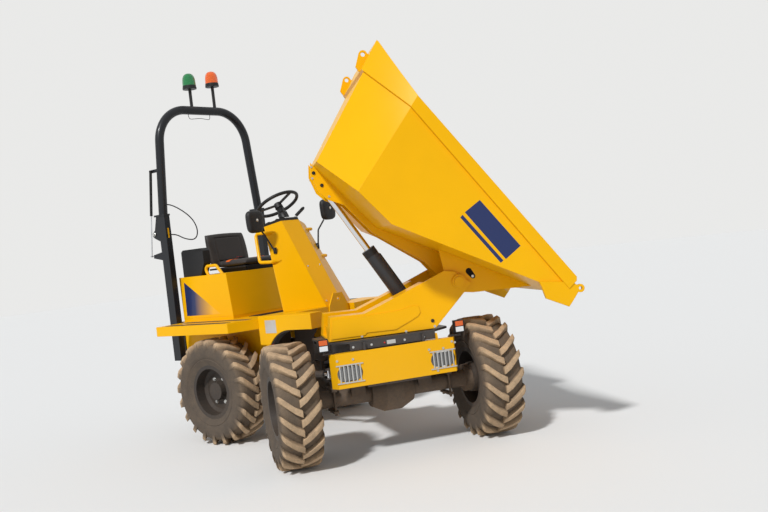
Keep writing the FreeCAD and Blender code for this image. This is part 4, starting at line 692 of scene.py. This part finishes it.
LOAD = SKIP @ Vector((-0.45, 0, 0.30))
WELD, CLEAR, PROUD = 0.00005, 0.002, 0.0004
room = bmesh.new()
room.from_mesh(frame["nodes"]["skip"].data)
bmesh.ops.remove_doubles(room, verts=room.verts, dist=WELD)
walls = BVHTree.FromBMesh(room)
hidden = []
for face in room.faces:
    middle = face.calc_center_median()
    way = LOAD - middle
    if face.normal.dot(way) <= 0 or walls.ray_cast(middle + face.normal * CLEAR, way, way.length)[0]:
        hidden.append(face)
bmesh.ops.delete(room, geom=hidden, context="FACES")
for vertex in room.verts:
    vertex.co += vertex.normal * PROUD
bmesh.ops.solidify(room, geom=room.faces[:], thickness=0.0005)
in_skip = room.verts.layers.float_vector.new("in_skip")
for vertex in room.verts:
    vertex[in_skip] = SKIP.inverted() @ vertex.co
piece("skip_load_face", room, "skip", [scoured])

# Steps
# Self-adhesive grip strips, black and gritty, two abreast on both footboards,
# beside the engine cover and the driver's feet.
grip = finish("Anti-slip strip", (0.02, 0.02, 0.022), 0.95, dust=0.6, dust_top=1.4, grain=1.0,
              grain_scale=500)
STRIPS = [
    # inner edge, outer edge, front end
    (0.765, 0.832, -0.50), (0.597, 0.663, -0.44)]
strips = bmesh.new()
for side in (-1, 1):
    for inner, outer, front in STRIPS:
        near, far = sorted((side * inner, side * outer))
        block(strips, (-1.25, near, 0.9645), (front, far, 0.9665))
piece("grip_strips", strips, "rear_chassis", [grip], REAR, bevel=0.0006)

# Seat
# Foam pads under black vinyl, each with a sunk middle panel, a raised rim and a
# sewn channel, on a sprung base; a webbing lap belt lies across the cushion.
vinyl = finish("Seat vinyl", (0.018, 0.018, 0.020), 0.5, dust=0.10, dust_top=2.5, grain=0.5, grain_scale=600)
webbing = finish("Orange webbing", (0.75, 0.13, 0.01), 0.7, dust=0.0, grain=0.8, grain_scale=900)
GRID = 56
RIM, CROWN, DISH, BELLY = 0.42, 0.58, 0.13, 0.32  # shares of a pad's depth
SEAM_ACROSS, SEAM_ALONG, SEAM_DEEP, SEAM_WIDE = 0.66, 0.72, 0.11, 0.035
WAIST = 0.10  # how far the sides draw in between the corners


def fall(across, along, power):
    """How full a pad is, 1 in its middle and 0 at its rim, over a square from -1 to 1."""
    return max(0.0, (1 - abs(across) ** power) * (1 - abs(along) ** power)) ** 0.5


def pad_height(across, along):
    """Height of a pad's face, as a share of its depth."""
    dish = DISH * max(0.0, 1 - across * across) * max(0.0, 1 - along * along)
    seam = max(abs(across) / SEAM_ACROSS, abs(along) / SEAM_ALONG)
    return RIM + CROWN * fall(across, along, 7) - dish - SEAM_DEEP * math.exp(-((seam - 1) / SEAM_WIDE) ** 2)


def pad(name, size, stand, node):
    """A pad of a length, width and depth, with its back at the origin of a place."""
    bm = bmesh.new()
    length, width, depth = size
    sheets = []
    for top in (True, False):
        rows = []
        for row in range(GRID + 1):
            line = []
            for column in range(GRID + 1):
                u, v = 2 * row / GRID - 1, 2 * column / GRID - 1
                rise = pad_height(v, u) if top else BELLY - BELLY * fall(u, v, 9)
                x = length / 2 * u * math.sqrt(1 - WAIST * v * v)
                y = width / 2 * v * math.sqrt(1 - WAIST * u * u)
                line.append(bm.verts.new((x, y, depth * rise)))
            rows.append(line)
        for near, far in zip(rows, rows[1:]):
            for column in range(GRID):
                bm.faces.new((near[column], far[column], far[column + 1], near[column + 1]))
        sheets.append(rows)
    rims = [[rows[0][step] for step in range(GRID)] + [rows[step][GRID] for step in range(GRID)] +
            [rows[GRID][GRID - step] for step in range(GRID)] + [rows[GRID - step][0] for step in range(GRID)]
            for rows in sheets]
    for step in range(len(rims[0])):
        after = (step + 1) % len(rims[0])
        bm.faces.new((rims[0][step], rims[0][after], rims[1][after], rims[1][step]))
    piece(name, bm, "engine_cover", [vinyl], stand, sharp=60, replaces=[node])


low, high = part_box("seat_cushion")
cushion_size = (high[0] - low[0], high[1] - low[1], high[2] - low[2])
CUSHION = Matrix.Translation(((low[0] + high[0]) / 2, (low[1] + high[1]) / 2, low[2]))
pad("seat_cushion_pad", cushion_size, CUSHION, "seat_cushion")
LEAN_BACK = Matrix(((-0.187, 0, 0.982), (0, -1, 0), (0.982, 0, 0.187))).to_4x4()
back_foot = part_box("seat_back")[0][2]
BACK = REAR @ Matrix.Translation((-1.3555, 0, back_foot - ground.z + 0.152)) @ LEAN_BACK
pad("seat_back_pad", (0.300, 0.448, 0.064), BACK, "seat_back")

BELT_PLACE, BELT_WIDTH, BELT_THICK, BELT_SHARE, BELT_STEPS = -0.12, 0.048, 0.0022, 0.97, 40
lie = []
for step in range(BELT_STEPS + 1):
    v = 2 * step / BELT_STEPS - 1
    lie.append((BELT_PLACE * cushion_size[0] / 2, BELT_SHARE * v * cushion_size[1] / 2,
                cushion_size[2] * pad_height(BELT_SHARE * v, BELT_PLACE) + 0.001))
belt = bmesh.new()
stack(belt, [[(x - BELT_WIDTH / 2, y, z), (x + BELT_WIDTH / 2, y, z), (x + BELT_WIDTH / 2, y, z + BELT_THICK),
              (x - BELT_WIDTH / 2, y, z + BELT_THICK)] for x, y, z in lie])
belt_piece = piece("lap_belt", belt, "engine_cover", [webbing], CUSHION, sharp=60)
buckle = bmesh.new()
block(buckle, (-0.033, -0.036, 0.0015), (0.033, 0.036, 0.017), 0, lie[12])
block(buckle, (-0.014, -0.020, 0.017), (0.014, 0.020, 0.0195), 1, lie[12])
piece("lap_belt_buckle", buckle, "engine_cover", [moulded, red_paint], CUSHION, bevel=0.003)

# Dash
# A moulded binnacle under the steering wheel, with three glossy dials, three
# rockers, the key switch and the lever for forward and reverse.
DASH = REAR @ Matrix.Translation((-0.5576, 0, 1.7211)) @ Matrix.Rotation(math.radians(-23.6), 4, "Y")
DIALS = ((-0.022, -0.098, 0.030), (-0.028, -0.168, 0.024), (-0.022, 0.098, 0.030))
ROCKERS = ((0.030, -0.078), (0.030, 0.078), (0.030, -0.112))
LEVER_FOOT, LEVER_END = (-0.588, 0.10, 1.716), (-0.600, 0.185, 1.763)
GRIP_FOOT, GRIP_END = (-0.600, 0.182, 1.761), (-0.600, 0.290, 1.828)
dial_face = finish("Dial face", (0.05, 0.05, 0.052), 0.08, coat=1.0, dust=0.0)
dial_mark = finish("Dial marks", (0.75, 0.75, 0.72), 0.4, dust=0.0)


def tile(bm, place, low, high, slot):
    """A box between two corners, in a place that may be turned."""
    corners = rectangle(low, high)
    stack(bm, [[place @ Vector((x, y, level)) for x, y in corners] for level in (low[2], high[2])], slot)


dials = bmesh.new()
for x, y, radius in DIALS:
    seat = DASH @ Matrix.Translation((x, y, 0))
    bezel = radius * 0.86
    turned(dials, [(radius, -0.002), (radius, 0.006), (bezel, 0.007), (bezel, 0.004), (0, 0.004)], seat)
    turned(dials, [(radius * 0.85, 0.0045), (0, 0.0045)], seat, slot=1)
    for tick in range(9):
        turn = Matrix.Rotation(math.radians(-120 + 30 * tick), 4, "Z")
        low, high = Vector((radius * 0.62, -0.0008, 0.0046)), Vector((radius * 0.78, 0.0008, 0.0052))
        tile(dials, seat @ turn, low, high, 2)
for x, y in ROCKERS:
    tile(dials, DASH, (x - 0.008, y - 0.012, -0.001), (x + 0.008, y + 0.012, 0.008), 0)
turned(dials, [(0.013, -0.001), (0.013, 0.008), (0.010, 0.010), (0, 0.010)],
       DASH @ Matrix.Translation((-0.028, 0.158, 0)), 24, 3)
piece("dash_dials", dials, "rear_chassis", [moulded, dial_face, dial_mark, zinc])
lever = bmesh.new()
bar(lever, LEVER_FOOT, LEVER_END, 0.006, sides=14)
grip_length = (Vector(GRIP_END) - Vector(GRIP_FOOT)).length
ribs = [(0.0, 0.0)]
for rib in range(9):
    start = grip_length * (0.04 + 0.1 * rib)
    ribs += [(0.0115, start), (0.0145, start + 0.003), (0.0145, start + 0.007), (0.0115, start + 0.010)]
turned(lever, ribs + [(0.010, grip_length), (0, grip_length + 0.003)], along(GRIP_FOOT, GRIP_END), 20, 1)
piece("shuttle_lever", lever, "rear_chassis", [zinc, moulded], REAR, sharp=50)

# Tipping ram
# The barrel's screwed gland in black steel, and the steel feed pipe that runs
# along it in two clips from a banjo bolt near the foot.
thrust = Vector(joints["tip_rod_slide"]["axis"]).to_track_quat("Z", "X").to_matrix().to_4x4()
RAM = Matrix.Translation(joints["tip_barrel_swing"]["pos_m"]) @ thrust
BARREL, BORE, BARREL_LONG = 0.046, 0.0255, 0.555
GLAND_FOOT, GLAND_END = BARREL_LONG - 0.052, BARREL_LONG - 0.0005
gland = bmesh.new()
turned(gland, [(BARREL - 0.002, GLAND_FOOT), (BARREL + 0.005, GLAND_FOOT),
               (BARREL + 0.005, BARREL_LONG - 0.004), (BARREL, GLAND_END), (BORE, GLAND_END),
               (BORE, GLAND_FOOT)], RAM, 40, closed=True)
for clip in (0.17, 0.42):
    turned(gland, [(BARREL - 0.001, clip), (BARREL + 0.002, clip), (BARREL + 0.002, clip + 0.018),
                   (BARREL - 0.001, clip + 0.018)], RAM, 40, closed=True)
PIPE_OFF, PIPE_LOW, PIPE_HIGH = BARREL + 0.007, 0.085, BARREL_LONG - 0.075
for start, end, radius in (((PIPE_OFF, 0, PIPE_LOW), (PIPE_OFF, 0, PIPE_HIGH), 0.005),
                           ((PIPE_OFF, 0, PIPE_LOW), (BARREL - 0.004, 0, PIPE_LOW), 0.009),
                           ((PIPE_OFF, 0, PIPE_HIGH), (BARREL - 0.004, 0, PIPE_HIGH), 0.009)):
    bar(gland, RAM @ Vector(start), RAM @ Vector(end), radius)
piece("tip_ram_gland", gland, "tip_barrel", [black_steel], sharp=40)

# Beacons
# Two flashing lamps side by side on the hoop, green and amber: a black base, a
# fluted polycarbonate dome and a reflector that turns inside it.
HOOP_X, HOOP_TOP = -1.460, 2.820


def lens_material(name, colour, deep):
    """A lens of one colour, clear to a depth from 0 to 1."""
    new, nodes, shader = material(name)
    put(shader, Base_Color=(*colour, 1), Roughness=0.08, Coat_Weight=0.5, Transmission_Weight=deep,
        Emission_Color=(*colour, 1), Emission_Strength=0.12)
    return new


green_lens = lens_material("Green lens", (0.0, 0.20, 0.05), 0.3)
amber_lens = lens_material("Amber lens", (0.80, 0.125, 0.0), 0.3)
red_lens = lens_material("Red lens", (0.42, 0.004, 0.004), 0.0)
clear_lens = lens_material("Clear lens", (0.62, 0.65, 0.67), 0.0)
FLUTES, FLUTE, FLUTED = 24, 0.0016, 0.058  # their number, and their depth on a dome of this radius
BASE = [(0.052, 0.0), (0.0598, 0.0), (0.0598, 0.014), (0.056, 0.018), (0.052, 0.018)]
DOME = [(0.0585, 0.0165), (0.0575, 0.045), (0.0555, 0.073), (0.0500, 0.094), (0.041, 0.110), (0.030, 0.1195),
        (0.020, 0.1235)]
BEACONS = [
    # name, place across the hoop, height over its top, lens
    ("green", -0.100, 0.2063, green_lens), ("amber", 0.165, 0.2413, amber_lens)]
for word, y, rise, lens_finish in BEACONS:
    stand = REAR @ Matrix.Translation((HOOP_X, y, HOOP_TOP + rise))
    lamp = bmesh.new()
    turned(lamp, BASE, stand, 48, closed=True)
    shells = []
    for radius, height in DOME:
        reaches = [radius - FLUTE * (step % 2) * radius / FLUTED for step in range(2 * FLUTES)]
        shells.append([stand @ Vector((*circle(reach, math.pi * step / FLUTES), height))
                       for step, reach in enumerate(reaches)])
    shells.append([stand @ Vector((0, 0, 0.1255))])
    stack(lamp, shells, 1)
    bar(lamp, stand @ Vector((0, 0, 0.017)), stand @ Vector((0, 0, 0.085)), 0.016, slot=2)
    piece("beacon_" + word + "_lamp", lamp, "rops_hoop", [moulded, lens_finish, zinc],
          sharp=14, replaces=["beacon_" + word])

# Lamps on the chassis
# Position lamps in black housings, amber over clear; tail lamps, red beside
# amber; headlamps with plain glass behind their steel guards.
FRONT_LAMP = [
    # low corner and high corner from the lamp's middle, number of its finish
    ((-0.022, -0.034, -0.042), (0.016, 0.034, 0.042), 0),  # housing
    ((0.014, -0.028, 0.003), (0.021, 0.028, 0.036), 1),  # amber lens
    ((0.014, -0.028, -0.036), (0.021, 0.028, -0.003), 2),  # clear lens
    ((0.014, -0.034, -0.042), (0.022, -0.0305, 0.042), 0),  # the housing's cheeks
    ((0.014, 0.0305, -0.042), (0.022, 0.034, 0.042), 0)]
TAIL_Y, TAIL_LENSES = 0.415, ((0.374, 0.411), (0.419, 0.456))
side_lamps, tail = bmesh.new(), bmesh.new()
for side in (-1, 1):
    for low, high, slot in FRONT_LAMP:
        block(side_lamps, low, high, slot, (1.306, side * 0.480, 0.812))
    block(tail, (-1.515, -0.045, 0.790), (-1.4855, 0.045, 0.850), 0, (0, side * TAIL_Y, 0))
    for slot, (inner, outer) in enumerate(TAIL_LENSES, 1):
        near, far = sorted((side * inner, side * outer))
        block(tail, (-1.5185, near, 0.7945), (-1.512, far, 0.8455), slot)
piece("position_lamps", side_lamps, "front_chassis", [moulded, amber_lens, clear_lens], FRONT,
      bevel=0.002, replaces=["side_lamps"])
piece("rear_lamps", tail, "rear_chassis", [moulded, red_lens, amber_lens], REAR, bevel=0.0015,
      replaces=["tail_lamps"])
lamp_glass, nodes, shader = material("Headlamp glass")
put(shader, Base_Color=(0.22, 0.22, 0.22, 1), Roughness=0.12, Metallic=0.6, Coat_Weight=1.0)
for holder in frame["nodes"]["headlamps"].material_slots:
    holder.material = lamp_glass


# Mirrors
# Driving mirrors with rounded corners, in black shells on bent rods, their glass
# to the driver and a bright screw in the back of each.
def from_cad(node):
    """A CAD piece of the rear chassis as a mesh to edit, in that chassis's own axes."""
    bm = bmesh.new()
    bm.from_mesh(frame["nodes"][node].data)
    bmesh.ops.remove_doubles(bm, verts=bm.verts, dist=WELD)
    bmesh.ops.transform(bm, matrix=REAR.inverted(), verts=bm.verts)
    return bm


mirror_glass = finish("Mirror glass", (0.85, 0.87, 0.9), 0.03, metal=1.0, dust=0.0, shade=0.0)
HEAD_LOW, HEAD_HIGH = Vector((-0.469, 0.343, 1.637)), Vector((-0.425, 0.523, 1.881))
HEAD_HALF, HEAD_HEIGHT, HEAD_TAPER, HEAD_STEPS, GLASS = 0.088, 0.0905, 0.009, 56, 0.93
SHELL = [
    # place ahead of the head's middle, share of the full outline
    (-0.0215, 0.90), (-0.0215, 0.97), (-0.014, 1.0), (0.0, 0.99), (0.012, 0.94), (0.0195, 0.82),
    (0.0225, 0.60), (0.0235, 0.3)]
rods = from_cad("mirrors")
heads = [face for face in rods.faces if all(
    HEAD_LOW.x < vertex.co.x < HEAD_HIGH.x and HEAD_LOW.y < abs(vertex.co.y) < HEAD_HIGH.y and
    HEAD_LOW.z < vertex.co.z < HEAD_HIGH.z for vertex in face.verts)]
bmesh.ops.delete(rods, geom=heads, context="FACES")
bmesh.ops.holes_fill(rods, edges=[edge for edge in rods.edges if edge.is_boundary])
piece("mirror_rods", rods, "rear_chassis", [black_steel], REAR, replaces=["mirrors"])
for word, side in SIDES:
    centre = Vector((-0.447, side * 0.433, 1.759 + side * 0.030))
    shell = bmesh.new()
    rings = []
    for depth, share in SHELL:
        ring = []
        for step in range(HEAD_STEPS):
            turn = math.tau * step / HEAD_STEPS
            c, s = math.cos(turn), math.sin(turn)
            reach = (abs(c) ** 4 + abs(s) ** 4) ** (-1 / 4)
            half = HEAD_HALF - HEAD_TAPER * (1 - s) / 2
            y, z = side * share * reach * c * half, share * reach * s * HEAD_HEIGHT
            ring.append(centre + Vector((depth, y, z)))
        rings.append(ring)
    rings.append([centre + Vector((0.0237, 0, 0))])
    stack(shell, rings)
    widest = [point - centre for point in rings[2]]
    stack(shell, [[centre + Vector((level, point.y * GLASS, point.z * GLASS)) for point in widest]
                  for level in (-0.0205, -0.0222)], 1)
    turned(shell, [(0.012, 0), (0.012, 0.004), (0.007, 0.007), (0.007, 0.009), (0, 0.009)],
           Matrix.Translation(centre + Vector((0.0225, 0, 0.01))) @ FORWARD, 20, 2)
    piece("mirror_shell_" + word, shell, "rear_chassis", [moulded, mirror_glass, zinc], REAR,
          sharp=50)

# Nose, console and hoop details
# Bolts in the nose, the cowl and the hoop's legs, the steering wheel's nut, rubber
# treads on the pedals, a ribbed floor mat and a yellow strip on one leg.
nose_bolts = [((-0.0478, y, z), AHEAD) for y in (-0.20, 0.20) for z in (0.80, 0.93)]
bolted("nose_bolts", nose_bolts, 0.007, zinc, "rear_chassis", REAR)
COWL_FRONT, COWL_SLOPE, COWL_FOOT = -0.093, 0.543, 0.985
cowl_lean = math.atan(COWL_SLOPE)
studs = [((COWL_FRONT - COWL_SLOPE * rise + 0.0005, side * 0.070, COWL_FOOT + rise),
          (math.cos(cowl_lean), 0, math.sin(cowl_lean))) for side in (-1, 1) for rise in (0.045, 0.34)]
bolted("cowl_studs", studs, 0.0055, zinc, "rear_chassis", REAR)
treads = bmesh.new()
for side in (-1, 1):
    for step in range(5):
        share = 0.12 + 0.19 * step
        pedal = (-0.330 + 0.060 * share, side * 0.150, 0.992 + 0.112 * share)
        block(treads, (-0.004, -0.041, -0.004), (0.001, 0.041, 0.004), 0, pedal)
piece("pedal_treads", treads, "rear_chassis", [moulded], REAR, bevel=0.001)
mat = bmesh.new()
block(mat, (-0.740, -0.360, 0.9645), (-0.350, 0.360, 0.9680))
for step in range(14):
    x = -0.728 + 0.0275 * step
    block(mat, (x, -0.350, 0.9675), (x + 0.010, 0.350, 0.9700))
piece("floor_mat", mat, "rear_chassis", [moulded], REAR, bevel=0.0008)
# The steering column, cut off inside the cowl.
column = from_cad("steering_column")
kept = bmesh.ops.bisect_plane(column, geom=column.verts[:] + column.edges[:] + column.faces[:],
                              plane_co=(COWL_FRONT - 0.004, 0, COWL_FOOT), plane_no=(1, 0, COWL_SLOPE),
                              clear_outer=True)
opening = [edge for edge in kept["geom_cut"] if isinstance(edge, bmesh.types.BMEdge)]
bmesh.ops.holes_fill(column, edges=opening)
piece("steering_column_tube", column, "rear_chassis", [black_steel], REAR,
      replaces=["steering_column"])
turn_joint = joints["steering_wheel_turn"]
wheel_lean = Vector(turn_joint["axis"]).to_track_quat("Z", "Y").to_matrix().to_4x4()
BOSS = Matrix.Translation(turn_joint["pos_m"]) @ wheel_lean
boss = bmesh.new()
turned(boss, [(0.020, -0.004), (0.020, 0.004), (0.015, 0.007), (0, 0.007)], BOSS, 28)
turned(boss, [(0.0095, 0.006), (0.0095, 0.0135), (0.007, 0.015), (0, 0.015)], BOSS, 6, 1)
piece("steering_wheel_nut", boss, "steering_wheel", [moulded, zinc])
FOLD_X, FOLD_Z, LEG_OUT = -1.575, 1.745, 0.581
pivots = outward([(FOLD_X, FOLD_Z)], -1, LEG_OUT) + outward([(FOLD_X, FOLD_Z)], 1, LEG_OUT)
bolted("hoop_pivots", pivots, 0.014, zinc, "rear_chassis", REAR)
marker = bmesh.new()
block(marker, (-1.4153, -0.561, 1.700), (-1.4143, -0.546, 1.785))
piece("hoop_marker", marker, "rear_chassis", [paint], REAR)

# Cables
# The beacons' supply: a rubber-covered lead that leaves the folding hoop, hangs
# in a loop and goes into the leg, and a thin lead between the two beacons.
hose = finish("Cable rubber", (0.012, 0.012, 0.013), 0.55, dust=0.0)
CABLES = [
    # name, node, body, diameter, length, points
    ("hoop_lead", "hoop_cable", "rear_chassis", 0.010, 0.910, [
        (-1.4217, -0.545, 1.985), (-1.350, -0.545, 1.985), (-1.115, -0.537, 1.855), (-1.040, -0.535, 1.735),
        (-1.080, -0.537, 1.650), (-1.210, -0.545, 1.668), (-1.335, -0.545, 1.725), (-1.4147, -0.545, 1.725)]),
    ("beacon_lead", "beacon_cable", "rops_hoop", 0.005, 0.309, [
        (-1.460, -0.150, 2.7817), (-1.460, -0.150, 2.740), (-1.460, -0.090, 2.744), (-1.460, -0.020, 2.752),
        (-1.460, 0.050, 2.744), (-1.460, 0.095, 2.740), (-1.460, 0.095, 2.7817)])]
for name, node, body, diameter, length, points in CABLES:
    curve = bpy.data.curves.new(name, "CURVE")
    curve.dimensions = "3D"
    curve.bevel_depth = diameter / 2
    curve.bevel_resolution = 4
    curve.resolution_u = 16
    curve.use_fill_caps = True
    route = curve.splines.new("NURBS")
    route.points.add(len(points) - 1)
    for spot, point in zip(route.points, points):
        spot.co = (*(REAR @ Vector(point)), 1)
    route.order_u = 3
    route.use_endpoint_u = True
    curve.materials.append(hose)
    lead = bpy.data.objects.new(name, curve)
    bpy.context.collection.objects.link(lead)
    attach(lead, body)
    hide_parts(node)
